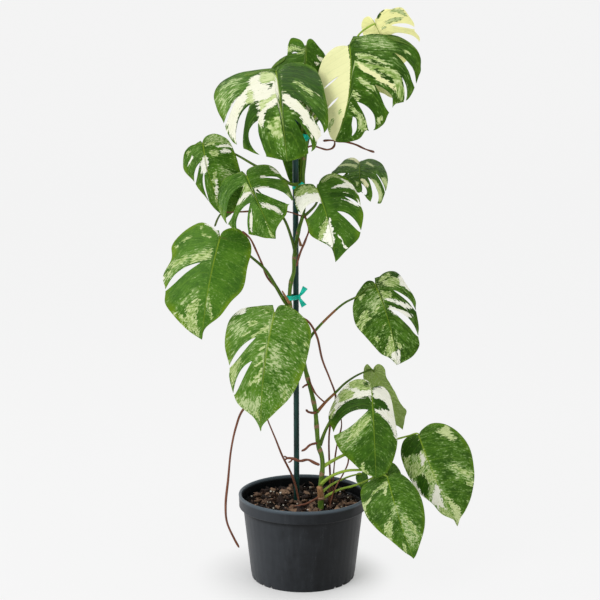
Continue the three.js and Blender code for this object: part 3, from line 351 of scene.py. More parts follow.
MARKS = {
    "leaf_03": [
        ("mint", [(-25, 14), (-18, 10), (-10, 7), (-2, 5), (-5, 9), (-12, 12), (-20, 15)]),
        ("lime", [(-8, 14), (-3, 7), (-1, 6), (-3, 12), (-6, 19), (-8, 21), (-9, 18)]),
        ("lime", [(-38, 19), (-31, 19), (-24, 18), (-27, 22), (-33, 24), (-35, 29), (-34, 38),
            (-36, 35), (-38, 28)]),
        ("mint", [(-21, 57), (-15, 52), (-9, 48), (-10, 56), (-13, 65), (-17, 73), (-20, 67)]),
        ("marble", [(-5, 34), (4, 31), (3, 42), (-3, 47), (-10, 52)]),
        ("marble", [(2, 40), (10, 49), (15, 59), (18, 69), (19, 77), (12, 85), (4, 90), (0, 83),
            (0, 67), (1, 51)]),
        ("mint", [(6, 49), (11, 53), (15, 65), (15, 76), (12, 73), (8, 61)]),
        ("mint", [(-5, 79), (-2, 84), (-5, 91), (-7, 87)]),
    ],
    "leaf_04": [
        ("dark", [(-24, 12), (-19, 4), (-12, 0), (-3, -1), (0, 7), (-1, 14), (-7, 19), (-12, 15),
            (-17, 15), (-22, 14)]),
        ("mint", [(-21, 16), (-17, 16), (-17, 21), (-23, 30), (-24, 26), (-24, 20)]),
        ("mint", [(-6, 18), (-1, 17), (0, 23), (-1, 28), (-7, 33), (-11, 33), (-11, 27)]),
        ("cream", [(-5, 19), (-2, 20), (-3, 26), (-7, 30), (-9, 30)]),
        ("mint", [(-18, 23), (-13, 23), (-9, 27), (-10, 35), (-15, 37), (-21, 38), (-22, 34)]),
        ("marble", [(-14, 10), (-3, 13), (1, 29), (4, 45), (2, 58), (3, 73), (3, 96), (-4, 91),
            (-9, 79), (-14, 66), (-20, 53), (-24, 37)]),
        ("mint", [(-4, 34), (1, 38), (3, 44), (-1, 50), (-7, 46), (-9, 40)]),
        ("dark", [(-17, 38), (-10, 38), (-8, 43), (-9, 52), (-15, 61), (-19, 56), (-20, 48)]),
        ("cream", [(-24, 36), (-21, 42), (-19, 49), (-19, 55), (-15, 65), (-12, 73), (-16, 69),
            (-21, 58), (-23, 46)]),
        ("cream", [(-3, 53), (1, 54), (-1, 62), (-2, 70), (-5, 78), (-10, 74), (-13, 65), (-7, 58)]),
        ("mint", [(-8, 74), (-4, 77), (-1, 84), (1, 88), (-1, 92), (-6, 87), (-9, 82)]),
        ("lime", [(3, 67), (6, 73), (9, 80), (9, 88), (7, 95), (0, 100), (1, 95), (2, 88),
            (2, 80), (2, 73)]),
        ("lime", [(17, 3), (25, 2), (32, 1), (34, 7), (33, 12), (37, 18), (33, 19), (28, 15),
            (24, 10), (19, 5)]),
        ("marble", [(19, 36), (28, 42), (35, 49), (41, 55), (36, 66), (27, 62), (20, 55), (18, 47)]),
        ("mint", [(20, 37), (27, 44), (34, 52), (39, 57), (37, 60), (30, 56), (24, 48)]),
        ("mint", [(28, 61), (36, 66), (32, 71), (28, 66)]),
    ],
    "leaf_05": [
        ("cream", [(-50, 25), (-48, 13), (-41, 2), (-31, -8), (-21, -13), (-10, -14), (-1, -8),
            (0, 3), (-2, 8), (-11, 8), (-20, 9), (-29, 11), (-37, 16), (-45, 25)]),
        ("mint", [(-26, -12), (-17, -15), (-6, -11), (0, -6), (-1, 1), (-9, 2), (-17, -2),
            (-25, -5)]),
        ("mint", [(-39, 1), (-30, -4), (-22, 0), (-19, 4), (-23, 9), (-31, 11), (-38, 12)]),
        ("mint", [(-51, 21), (-48, 10), (-43, 5), (-42, 12), (-46, 19)]),
        ("dark", [(-9, -9), (-2, -7), (-3, -2), (-8, -4)]),
        ("dark", [(-49, 32), (-44, 24), (-38, 17), (-29, 12), (-21, 10), (-12, 9), (-3, 8),
            (-1, 13), (-2, 24), (-10, 22), (-18, 22), (-28, 25), (-38, 29), (-45, 34)]),
        ("mint", [(-50, 23), (-45, 18), (-42, 18), (-44, 23), (-49, 29)]),
        ("marble", [(-48, 50), (-43, 44), (-32, 35), (-22, 30), (-11, 26), (-2, 26), (-2, 38),
            (-8, 47), (-16, 55), (-24, 66), (-34, 70), (-42, 62)]),
        ("mint", [(-26, 44), (-15, 37), (-5, 31), (-3, 34), (-7, 41), (-13, 46), (-18, 52),
            (-24, 55)]),
        ("mint", [(-30, 55), (-24, 49), (-19, 53), (-24, 57), (-30, 59)]),
        ("mint", [(-17, 88), (-14, 81), (-12, 83), (-13, 89), (-7, 96), (-5, 99), (-12, 95),
            (-16, 91)]),
        ("cream", [(1, 5), (2, 0), (9, -3), (17, -4), (22, 0), (26, 10), (29, 22), (30, 37),
            (30, 51), (30, 60), (27, 57), (25, 49), (22, 41), (18, 37), (12, 34), (8, 28), (4, 26),
            (6, 24), (17, 24), (20, 21), (18, 16), (14, 12), (8, 10), (3, 10)]),
        ("dark", [(3, 12), (7, 12), (14, 13), (18, 18), (21, 22), (18, 25), (14, 23), (9, 20),
            (6, 22), (3, 25), (2, 19)]),
    ],
    "leaf_07": [
        ("cream", [(-34, 4), (-32, -1), (-29, -3), (-25, -4), (-25, -2), (-24, 0), (-25, 2),
            (-29, 3), (-33, 4)]),
        ("mint", [(-11, -2), (-8, -1), (-5, -1), (-4, 1), (-7, 1), (-10, 0)]),
        ("mint", [(-23, 9), (-17, 8), (-12, 7), (-11, 9), (-15, 10), (-21, 11)]),
        ("mint", [(-21, 12), (-15, 10), (-12, 11), (-16, 13), (-20, 14)]),
        ("marble", [(-36, 13), (-29, 11), (-23, 12), (-20, 15), (-22, 19), (-27, 21), (-33, 20)]),
        ("mint", [(-24, 21), (-20, 18), (-16, 16), (-17, 18), (-20, 20), (-22, 23)]),
        ("mint", [(-9, 14), (-6, 11), (-1, 12), (-1, 15), (-3, 17), (-7, 18), (-11, 20), (-13, 22),
            (-15, 24), (-14, 20), (-11, 18)]),
        ("marble", [(-3, 5), (0, 25), (0, 31), (-3, 34), (-7, 37), (-8, 40), (0, 37), (0, 49),
            (0, 55), (0, 61), (0, 69), (-8, 75), (-14, 71), (-22, 75), (-19, 83), (-11, 86),
            (-3, 88), (-1, 80), (0, 65), (0, 49), (0, 32), (0, 16), (0, 2)]),
        ("mint", [(-7, 33), (-4, 29), (-1, 25), (-1, 28), (-3, 31), (-6, 35), (-8, 36)]),
        ("mint", [(-31, 53), (-29, 49), (-25, 45), (-21, 42), (-20, 43), (-22, 47), (-23, 51),
            (-24, 57), (-24, 63), (-25, 65), (-27, 61), (-29, 56)]),
        ("mint", [(-10, 48), (-6, 44), (-3, 40), (0, 37), (0, 40), (-3, 44), (-7, 47), (-9, 50)]),
        ("mint", [(-9, 57), (-5, 52), (-2, 47), (1, 45), (-1, 50), (-4, 54), (-8, 58)]),
        ("mint", [(-12, 60), (-6, 58), (0, 54), (-1, 57), (-6, 61), (-12, 64)]),
        ("mint", [(-3, 82), (-1, 86), (-1, 91), (-3, 89), (-5, 86)]),
        ("marble", [(2, 24), (8, 27), (12, 33), (13, 43), (9, 48), (5, 48), (3, 36)]),
        ("marble", [(15, 61), (23, 60), (24, 67), (20, 73), (16, 71)]),
        ("mint", [(17, 65), (19, 63), (21, 67), (20, 72), (18, 71)]),
        ("mint", [(29, 20), (34, 21), (35, 25), (31, 24)]),
        ("mint", [(18, 22), (24, 22), (24, 24), (20, 24)]),
    ],
    "leaf_08": [
        ("marble", [(-13, -4), (-8, -4), (-3, -1), (-6, 3), (-12, 1)]),
        ("mint", [(-26, 6), (-20, 4), (-15, 4), (-20, 9), (-24, 10)]),
        ("marble", [(-16, 15), (-8, 11), (-1, 10), (3, 14), (3, 20), (-4, 22), (-8, 28), (-14, 32),
            (-18, 31)]),
        ("mint", [(-14, 31), (-10, 26), (-6, 23), (-2, 22), (-7, 27), (-12, 32)]),
        ("mint", [(-31, 30), (-26, 26), (-21, 25), (-17, 27), (-22, 31), (-19, 37), (-22, 39),
            (-26, 36), (-31, 39), (-39, 40), (-35, 36)]),
        ("mint", [(-38, 40), (-30, 36), (-27, 38), (-30, 45), (-33, 50), (-37, 49)]),
        ("mint", [(-9, 49), (-5, 46), (-3, 48), (-6, 51), (-9, 53)]),
        ("mint", [(-21, 61), (-18, 60), (-16, 63), (-19, 67), (-22, 65)]),
        ("mint", [(0, 57), (-2, 64), (-6, 69), (-10, 75), (-13, 83), (-8, 87), (-4, 90), (-2, 93),
            (-1, 99), (0, 87), (0, 79), (0, 72), (0, 65)]),
        ("cream", [(-4, 84), (0, 84), (3, 86), (3, 93), (2, 100), (-1, 99), (-2, 93), (-5, 90)]),
        ("cream", [(3, 82), (6, 84), (5, 92), (4, 100), (2, 100), (2, 90)]),
        ("mint", [(1, -1), (5, -6), (10, -11), (15, -14), (23, -17), (23, -13), (18, -9), (12, -6),
            (7, -3), (3, 0)]),
        ("dark", [(23, -13), (29, -18), (36, -18), (37, -14), (32, -9), (26, -11)]),
        ("mint", [(10, -5), (21, -9), (31, -9), (36, -5), (38, -1), (30, 2), (23, 3), (17, 2),
            (14, 0), (9, -1)]),
        ("cream", [(38, -15), (41, -8), (43, -1), (46, 5), (48, 13), (46, 16), (42, 12), (39, 6),
            (33, 2), (34, -6)]),
        ("mint", [(2, 5), (9, 8), (16, 10), (16, 16), (11, 17), (4, 17), (2, 13)]),
        ("cream", [(6, 18), (15, 21), (24, 25), (32, 29), (37, 35), (32, 36), (25, 33), (19, 27),
            (12, 23)]),
        ("cream", [(5, 31), (13, 32), (19, 36), (26, 40), (33, 47), (25, 47), (17, 42), (9, 39)]),
        ("dark", [(2, 21), (9, 24), (15, 27), (21, 32), (29, 36), (36, 36), (43, 38), (41, 46),
            (33, 43), (27, 38), (20, 34), (12, 30), (5, 26)]),
        ("mint", [(1, 73), (5, 74), (9, 77), (10, 81), (7, 83), (5, 80)]),
    ],
    "leaf_09": [
        ("cream", [(-18, -14), (-12, -14), (-7, -11), (-3, -7), (-1, -2), (-3, -4), (-7, -8),
            (-10, -11), (-15, -12)]),
        ("mint", [(-37, 7), (-34, 3), (-30, 0), (-25, -1), (-27, 2), (-31, 5), (-35, 8)]),
        ("mint", [(-44, 14), (-43, 11), (-39, 10), (-40, 13), (-43, 15)]),
        ("mint", [(-22, -12), (-19, -11), (-19, -7), (-21, -7)]),
        ("mint", [(-19, -4), (-16, -4), (-14, -1), (-8, -1), (-10, 1), (-15, 0), (-18, -1)]),
        ("mint", [(-5, 12), (-7, 14), (-11, 16), (-14, 18), (-20, 20), (-23, 22), (-24, 27),
            (-25, 31), (-20, 30), (-17, 26), (-11, 24), (-7, 22), (-4, 19)]),
        ("mint", [(-27, 21), (-33, 23), (-39, 27), (-43, 31), (-45, 36), (-47, 42), (-47, 46),
            (-46, 44), (-42, 37), (-39, 34), (-33, 30), (-26, 24)]),
        ("marble", [(-27, 18), (-35, 22), (-43, 27), (-46, 36), (-47, 46), (-44, 53), (-40, 48),
            (-33, 38), (-25, 31), (-21, 25), (-6, 14), (-9, 8), (-16, 15)]),
        ("cream", [(-48, 46), (-47, 43), (-46, 46), (-45, 51), (-43, 57), (-45, 53)]),
        ("marble", [(-25, 62), (-20, 58), (-14, 54), (-8, 52), (-7, 59), (-10, 62), (-15, 65),
            (-19, 67), (-23, 72), (-26, 71)]),
        ("mint", [(-7, 61), (-10, 64), (-15, 68), (-19, 72), (-19, 78), (-18, 86), (-18, 91),
            (-14, 93), (-10, 94), (-6, 96), (-3, 98), (-4, 93), (-6, 87), (-8, 78), (-8, 70),
            (-6, 65)]),
        ("mint", [(-25, 78), (-22, 80), (-20, 86), (-21, 89), (-23, 86), (-25, 83)]),
        ("mint", [(-31, 77), (-29, 79), (-26, 84), (-28, 83), (-31, 81)]),
        ("marble", [(0, 45), (0, 48), (2, 52), (3, 61), (5, 71), (7, 76), (4, 76), (1, 72),
            (0, 65), (0, 58), (0, 52)]),
        ("mint", [(1, 57), (4, 63), (6, 69), (8, 77), (7, 80), (5, 73), (3, 66)]),
    ],
    "leaf_10": [
        ("mint", [(-10, 10), (0, 8), (-1, 22), (-1, 25), (-9, 23), (-13, 20)]),
        ("cream", [(-1, 25), (-9, 23), (-17, 25), (-24, 28), (-29, 32), (-23, 34), (-12, 30),
            (-3, 28)]),
        ("cream", [(-1, 24), (5, 22), (15, 24), (23, 27), (13, 31), (5, 31)]),
        ("cream", [(37, -10), (43, -4), (48, 6), (42, 4), (36, -3)]),
        ("cream", [(18, 6), (23, 7), (27, 10), (22, 11), (17, 10)]),
        ("mint", [(45, 45), (50, 41), (50, 48), (44, 58), (42, 54)]),
        ("cream", [(2, 45), (14, 53), (23, 62), (27, 74), (24, 72), (13, 61), (4, 53)]),
        ("cream", [(-9, 44), (-20, 61), (-25, 72), (-26, 77), (-24, 78), (-21, 71), (-14, 58)]),
        ("mint", [(-1, 71), (-2, 82), (0, 98), (-4, 97), (-4, 88)]),
    ],
    "leaf_11": [
        ("mint", [(-27, -3), (-17, -10), (-7, -8), (0, 1), (0, 6), (-7, 6), (-15, 2), (-21, 4),
            (-30, 3)]),
        ("cream", [(-30, 3), (-21, 4), (-15, 3), (-7, 6), (0, 6), (0, 15), (-2, 21), (-7, 21),
            (-13, 20), (-20, 25), (-26, 33), (-31, 28), (-32, 18)]),
        ("mint", [(-15, 61), (-9, 50), (0, 43), (0, 50), (-3, 55), (-9, 69), (-16, 68)]),
        ("cream", [(3, 42), (3, 50), (4, 65), (1, 76), (-2, 81), (-7, 74), (-13, 69), (-7, 61),
            (-2, 52)]),
        ("cream", [(19, 2), (29, -1), (40, -5), (37, -10), (44, -8), (49, -2), (52, 6), (52, 14),
            (50, 8), (43, 4), (31, 3)]),
        ("mint", [(9, -9), (22, -19), (32, -20), (36, -12), (24, -15), (12, -9)]),
        ("cream", [(25, 20), (39, 25), (45, 30), (47, 34), (33, 25)]),
        ("cream", [(48, 21), (50, 27), (49, 34), (47, 29)]),
        ("cream", [(6, 65), (11, 73), (13, 85), (19, 87), (15, 81), (12, 73), (9, 66)]),
        ("dark", [(15, 8), (35, 10), (47, 19), (41, 21), (25, 17), (12, 15)]),
    ],
    "leaf_12": [
                ("cream", [(-27, -16), (-18, -26), (-6, -24), (0, 0), (-3, 9), (-9, 3), (-14, -8)]),
        ("lime", [(-45, 14), (-31, 6), (-15, 12), (-5, 18), (-8, 32), (-17, 23), (-31, 19),
            (-43, 20)]),
        ("lime", [(14, -2), (32, 15), (27, 21), (12, 10)]),
        ("cream", [(3, 62), (12, 65), (20, 80), (18, 87), (12, 83), (5, 71)]),
        ("mint", [(-9, 69), (-1, 74), (-3, 86), (-7, 78)]),
        ("lime", [(23, 58), (37, 71), (50, 98), (48, 111), (40, 120), (38, 107), (30, 84)]),
        ("lime", [(54, 50), (60, 64), (58, 84), (52, 71), (45, 53)]),
    ],
    "leaf_13": [
        ("cream", [(1, 14), (4, 22), (1, 32), (-5, 39), (-8, 36), (-8, 25), (-5, 21)]),
        ("mint", [(7, 39), (11, 39), (7, 52), (5, 64), (1, 77), (-3, 81), (0, 68), (2, 55),
            (4, 46)]),
        ("cream", [(6, 48), (8, 50), (5, 62), (0, 74), (0, 71), (3, 59)]),
        ("marble", [(4, -8), (16, -14), (28, -9), (37, 3), (42, 15), (29, 10), (15, 2), (5, 4)]),
        ("mint", [(2, 0), (13, 0), (17, 1), (13, 4), (3, 3)]),
        ("cream", [(15, 7), (22, 6), (31, 6), (41, 15), (30, 10), (22, 9)]),
        ("cream", [(20, 15), (26, 12), (34, 16), (34, 19), (25, 18)]),
        ("mint", [(7, 11), (15, 12), (19, 16), (16, 20), (9, 18)]),
        ("mint", [(-25, 1), (-18, 1), (-22, 7)]),
        ("cream", [(-22, 15), (-16, 9), (-16, 13), (-24, 20), (-27, 22)]),
        ("marble", [(15, 34), (29, 38), (30, 50), (21, 55), (13, 49)]),
    ],
    "leaf_14": [
        ("cream", [(0, 31), (0, 11), (-3, 7), (-10, 2), (-19, 2), (-25, 7), (-26, 18), (-31, 25),
            (-37, 30), (-43, 36), (-47, 46), (-50, 56), (-50, 66), (-46, 74), (-44, 76), (-42, 64),
            (-40, 56), (-36, 46), (-33, 39), (-30, 35), (-29, 28), (-25, 24), (-24, 31), (-22, 38),
            (-21, 51), (-20, 57), (-18, 68), (-17, 58), (-15, 52), (-11, 48), (-6, 46), (-1, 42),
            (0, 37)]),
        ("marble", [(-53, 9), (-44, 2), (-33, 4), (-34, 20), (-42, 32), (-52, 48), (-58, 30)]),
        ("lime", [(-13, -2), (-1, 2), (0, 12), (-7, 16), (-14, 18), (-17, 11)]),
        ("lime", [(-19, 39), (-13, 39), (-3, 32), (0, 34), (-9, 42), (-15, 47), (-19, 51)]),
        ("lime", [(-28, 23), (-24, 25), (-23, 36), (-25, 41), (-31, 38), (-29, 30)]),
        ("mint", [(0, 56), (0, 66), (-2, 80), (-7, 80), (-12, 72), (-13, 64), (-6, 58)]),
        ("dark", [(-9, 19), (-6, 18), (-5, 23), (-9, 26)]),
        ("dark", [(-25, 41), (-22, 40), (-21, 51), (-21, 59), (-28, 63), (-31, 70), (-30, 83),
            (-26, 89), (-35, 85), (-37, 75), (-36, 64), (-31, 51)]),
        ("dark", [(-28, 40), (-26, 41), (-34, 50), (-39, 58), (-42, 76), (-44, 76), (-41, 57),
            (-35, 46)]),
        ("marble", [(0, 54), (0, 70), (-1, 86), (0, 95), (-4, 90), (-8, 83), (-12, 75), (-15, 68),
            (-12, 62), (-6, 56)]),
        ("cream", [(2, 34), (10, 38), (17, 46), (23, 56), (27, 64), (32, 73), (35, 80), (28, 86),
            (23, 74), (18, 65), (15, 57), (8, 50), (2, 42)]),
        ("mint", [(20, 22), (23, 23), (28, 30), (31, 37), (28, 36), (22, 28)]),
        ("mint", [(14, 19), (18, 17), (22, 20), (19, 22)]),
        ("dark", [(5, -3), (14, -11), (28, -12), (39, 3), (41, 28), (39, 41), (31, 32), (23, 21),
            (17, 13), (11, 21), (16, 29), (23, 42), (31, 55), (35, 66), (37, 72), (29, 59),
            (18, 43), (8, 34), (3, 31)]),
    ],
    "leaf_15": [
        ("cream", [(-90, -40), (90, -40), (90, 110), (-90, 110)]),
    ],
    "leaf_16": [
        ("cream", [(-90, -40), (-1, -40), (-1, 110), (-90, 110)]),
        ("mint", [(-22, 95), (-20, 84), (-16, 77), (-11, 80), (-13, 89), (-14, 98)]),
        ("mint", [(-11, 70), (-8, 67), (-6, 69), (-8, 73)]),
        ("marble", [(8, -13), (20, -21), (35, -24), (46, -19), (49, -9), (38, -3), (23, -4),
            (11, -2)]),
        ("mint", [(3, 7), (13, 5), (25, 5), (32, 7), (36, 11), (28, 10), (17, 12), (9, 11)]),
        ("mint", [(1, 15), (14, 16), (27, 15), (41, 16), (51, 19), (54, 28), (56, 34), (55, 47),
            (48, 55), (50, 47), (48, 38), (44, 33), (38, 27), (27, 24), (14, 22), (1, 21)]),
        ("dark", [(23, 20), (31, 22), (40, 25), (46, 30), (43, 32), (36, 29), (27, 26)]),
        ("cream", [(6, 17), (16, 21), (23, 25), (31, 29), (39, 32), (46, 35), (45, 38), (36, 35),
            (27, 31), (18, 27), (8, 22)]),
        ("mint", [(8, 34), (14, 34), (25, 40), (28, 46), (22, 45), (12, 40)]),
        ("mint", [(1, 47), (7, 49), (12, 54), (10, 58), (3, 55)]),
        ("lime", [(33, 69), (37, 67), (37, 74), (34, 78)]),
        ("mint", [(1, 60), (8, 65), (20, 75), (25, 84), (20, 87), (12, 74), (1, 65)]),
        ("mint", [(54, -13), (66, -12), (60, -9)]),
    ],
    "leaf_17": [
        ("cream", [(-90, -40), (90, -40), (90, 110), (-90, 110)]),
        ("dark", [(5, -6), (11, -12), (22, -14), (23, -11), (16, -11), (9, -5)]),
        ("mint", [(28, -7), (36, -8), (46, -2), (52, 13), (46, 10), (38, 0), (28, -3)]),
        ("mint", [(15, 4), (27, 4), (40, 9), (44, 12), (34, 12), (24, 9), (15, 8)]),
        ("mint", [(5, 8), (13, 9), (12, 13), (5, 11)]),
    ],
    "leaf_18": [
        ("mint", [(-13, -2), (-9, -2), (-4, 0), (0, 1), (-2, 2), (-8, 1), (-13, 3)]),
        ("mint", [(-4, 3), (-1, 2), (-2, 4), (-5, 5), (-7, 3)]),
        ("cream", [(8, 4), (11, 6), (14, 7), (12, 9), (9, 7)]),
        ("cream", [(6, 9), (11, 10), (8, 12)]),
        ("cream", [(-5, 21), (2, 20), (10, 25), (17, 36), (18, 48), (8, 55), (11, 60), (4, 49),
            (-2, 39), (-7, 31)]),
    ],
}

# Shader maths and node wiring


class Wire:
    """A socket that adds Math nodes when it is used in an expression."""

    def __init__(self, finish, socket):
        self.finish = finish
        self.socket = socket

    def joined(self, operation, *others):
        return self.finish.node("ShaderNodeMath", dict(operation=operation),
                                dict(enumerate((self, *others))))

    def __add__(self, other):
        return self.joined("ADD", other)

    def __mul__(self, other):
        return self.joined("MULTIPLY", other)

    def __sub__(self, other):
        return self.joined("SUBTRACT", other)

    def __rsub__(self, other):
        return self.finish.node("ShaderNodeMath", dict(operation="SUBTRACT"), {0: other, 1: self})

    __radd__ = __add__
    __rmul__ = __mul__

    def most(self, other):
        return self.joined("MAXIMUM", other)

    def least(self, other):
        return self.joined("MINIMUM", other)

    def size(self):
        return self.joined("ABSOLUTE")

    def between(self, low, high):
        """0 below low, 1 above high, smooth in between."""
        return self.finish.node("ShaderNodeMapRange", dict(interpolation_type="SMOOTHSTEP"),
                                {"Value": self, "From Min": low, "From Max": high})


class Finish:
    """A material and the nodes that give it its look. Colours are six hex digits."""

    def __init__(self, name, roughness, specular=0.5, gloss_tint=(1, 1, 1)):
        self.material = bpy.data.materials.new(name)
        self.material.use_nodes = True
        self.tree = self.material.node_tree
        self.shader = self.tree.nodes["Principled BSDF"]
        inputs = self.shader.inputs
        inputs["Roughness"].default_value = roughness
        inputs["Specular IOR Level"].default_value = specular
        inputs["Specular Tint"].default_value = (*gloss_tint, 1)

    def node(self, kind, settings=None, sockets=None, out=0):
        """Adds a node, sets its own settings and its inputs, and hands back one output."""
        made = self.tree.nodes.new(kind)
        for key, value in (settings or {}).items():
            if key == "stops":
                ramp = made.color_ramp
                while len(ramp.elements) < len(value):
                    ramp.elements.new(1)
                for element, (place, colour) in zip(ramp.elements, value):
                    element.position = place
                    element.color = (*srgb(colour), 1)
            else:
                setattr(made, key, value)
        for key, value in (sockets or {}).items():
            self.feed(made.inputs[key], value)
        return Wire(self, made.outputs[out])

    def feed(self, socket, value):
        if isinstance(value, Wire):
            self.tree.links.new(value.socket, socket)
        elif isinstance(value, str):
            socket.default_value = (*srgb(value), 1)
        else:
            socket.default_value = value

    def attribute(self, name):
        return self.node("ShaderNodeAttribute", dict(attribute_name=name), out=1)

    def parts(self, vector):
        """The three parts of a vector."""
        split = self.tree.nodes.new("ShaderNodeSeparateXYZ")
        self.tree.links.new(vector.socket, split.inputs[0])
        return [Wire(self, split.outputs[k]) for k in range(3)]

    def place(self):
        """The spot on the piece, in metres from the plant's origin."""
        return self.node("ShaderNodeTexCoord", out=3)

    def stretched(self, vector, scale):
        return self.node("ShaderNodeVectorMath", dict(operation="MULTIPLY"), {0: vector, 1: scale})

    def noise(self, vector, scale, detail=3.0, rough=0.55, warp=0.0):
        return self.node("ShaderNodeTexNoise", None, {
            "Vector": vector, "Scale": scale, "Detail": detail, "Roughness": rough,
            "Distortion": warp})

    def grey(self, level):
        return self.node("ShaderNodeCombineXYZ", None, {0: level, 1: level, 2: level})

    def mix(self, share, low, high):
        """Blends two colours by a share of 0 to 1."""
        made = self.tree.nodes.new("ShaderNodeMix")
        made.data_type = "RGBA"
        self.feed(made.inputs[0], share)
        self.feed(made.inputs[6], low)
        self.feed(made.inputs[7], high)
        return Wire(self, made.outputs[2])

    def ramp(self, share, *stops):
        return self.node("ShaderNodeValToRGB", dict(stops=stops), {0: share})

    def bump(self, height, depth, under=None):
        sockets = {"Height": height, "Strength": 1.0, "Distance": depth}
        if under is not None:
            sockets["Normal"] = under
        return self.node("ShaderNodeBump", None, sockets)

    def wear(self, colour=None, roughness=None, normal=None):
        for name, value in (("Base Color", colour), ("Roughness", roughness), ("Normal", normal)):
            if value is not None:
                self.feed(self.shader.inputs[name], value)
        return self.material


def srgb(code):
    """A colour written as six hex digits, in linear values."""
    shares = [int(code[k:k + 2], 16) / 255 for k in (0, 2, 4)]
    return tuple(s / 12.92 if s <= 0.04045 else ((s + 0.055) / 1.055) ** 2.4 for s in shares)


# Finishes


def leaf_finish(name, under):
    """Satin green blade marbled with mint and cream; the underside is paler and duller."""
    skin = Finish(name, 0.45, specular=0.12 if under else 0.2, gloss_tint=(0.8, 1, 0.5))
    across, run, seed = skin.parts(skin.attribute("flat"))
    vein, reach, lime = skin.parts(skin.attribute("vein"))
    pale, mint, dark = skin.parts(skin.attribute("marks"))
    marble, yellow_and_light, age_and_glow = skin.parts(skin.attribute("tone"))
    off_rib = across.size()
    edge = reach.size()

    flow = skin.node("ShaderNodeCombineXYZ", None, {0: vein * 42, 1: reach * 3.6, 2: seed})
    sheet = skin.node("ShaderNodeCombineXYZ", None, {0: across * 10, 1: run * 10, 2: seed})
    streak = skin.noise(flow, 1.0, 5.0, 0.62, 0.35)
    fine = skin.noise(flow, 2.8, 4.0, 0.6, 0.25)
    cloud = skin.noise(sheet, 0.5, 3.0)
    speck = skin.noise(sheet, 5.2, 3.0, 0.6)
    tooth = streak * 0.5 + fine * 0.5 + (speck - 0.5) * 0.2 - 0.5

    plain = 1 - pale - mint - dark
    dark_share = (dark - plain + tooth * 4.5).between(-0.12, 0.12)
    mint_share = (mint - plain.most(dark) + tooth * 5.5).between(-0.14, 0.14)
    cream_share = (pale - plain.most(dark).most(mint) + tooth * 4.2).between(-0.10, 0.10)
    blotch = streak * 0.55 + speck * 0.2 + cloud * 0.25
    patch = (blotch + marble * 0.10).between(0.515, 0.555)
    grey = (fine * 0.55 + streak * 0.35 + speck * 0.1 + marble * 0.14).between(0.58, 0.64)
    fleck_and_sheen = (fine * 0.55 + streak * 0.25 + speck * 0.2 + marble * 0.13).between(0.645, 0.68)

    deep = skin.ramp(cloud * 0.5 + fine * 0.5, (0.36, "1c3c02"), (0.50, "2a4d05"),
                     (0.62, "35600c"))
    # The fresh greens carry extra blue: a painted sheen of pale sky light on the blades.
    fresh_and_sheen = skin.ramp(cloud * 0.5 + fine * 0.5, (0.36, "365f1a"), (0.50, "44721d"),
                      (0.62, "578327"))
    # Above one, the green turns pale olive: painted light shining through a leaf that lies in shade.
    painted_glow = skin.ramp(cloud * 0.5 + fine * 0.5, (0.36, "7c9a3c"), (0.62, "a6bb5c"))
    green = skin.mix(age_and_glow.least(1), deep, fresh_and_sheen)
    green = skin.mix((age_and_glow - 1).most(0), green, painted_glow)
    green = skin.mix(patch * (marble * 0.55 + 0.06), green, "5f8a26")
    rim = (edge + (cloud - 0.5) * 0.5).between(0.80, 1.02)
    green = skin.mix(rim * (age_and_glow.least(1) * 0.7 + 0.15), green, "6b8a0c")
    # Grey and pale flecks are the marbling, tinted blue so that they also paint the blades' sheen.
    green = skin.mix(grey * 0.6, green, "7c9a58")
    green = skin.mix(fleck_and_sheen * 0.9, green, "bccb94")
    green = skin.mix(dark_share, green, skin.ramp(
        fine, (0.36, "173502"), (0.62, "2c5409")))
    # A look's yellow above one brightens the mint and cream: painted light on a leaf the lamps reach
    # too little.
    paler = lime * 0.13 + (yellow_and_light - 1).most(0) * 0.08
    green = skin.mix(mint_share, green, skin.ramp(
        fine + paler, (0.34, "587d2a"), (0.46, "8da858"), (0.60, "c6d298")))
    cream = skin.mix(yellow_and_light, "e6e5d6", "e6e6a0")
    cream = skin.mix((yellow_and_light - 1).most(0), cream, "faf8ac")
    cream = skin.mix((0 - yellow_and_light).most(0), cream, "fcfcee")
    cream = skin.mix((fine * 0.6 + cloud * 0.4).between(0.53, 0.68) * 0.5, cream, "ccd59a")
    dots = (fine * 0.5 + speck * 0.5).between(0.60, 0.66) * (1 - yellow_and_light.most(0))
    cream = skin.mix(dots * 0.75, cream, "7f9a4c")
    colour = skin.mix(cream_share, green, cream)

    rib = 1 - (off_rib - (1 - run) * 0.0040).between(0.001, 0.005)
    colour = skin.mix(rib * (0.66 - run * 0.34), colour, "86a02a")
    comb = (vein * SIDE_VEINS).joined("PINGPONG", 0.5)
    nerve = (1 - comb.between(0.0, 0.07)) * (1 - edge.between(0.55, 1.0))
    colour = skin.mix(nerve * (0.24 - cream_share * 0.14), colour, "6f9130")
    if under:
        # Undersides are paler; a look's green above one paints them paler still, as light shining
        # through.
        colour = skin.mix(0.45 - cream_share * 0.35, colour, skin.mix(
            age_and_glow.least(2) * 0.5, "6f8740", "a8bf6c"))

    relief = comb * 1.2 + fine * 0.35 + speck * 0.15
    normal = skin.bump(relief, 0.0011 if under else 0.0014)
    rough = speck * 0.16 + (0.45 if under else 0.32) + cream_share * 0.06
    return skin.wear(colour, rough, normal)


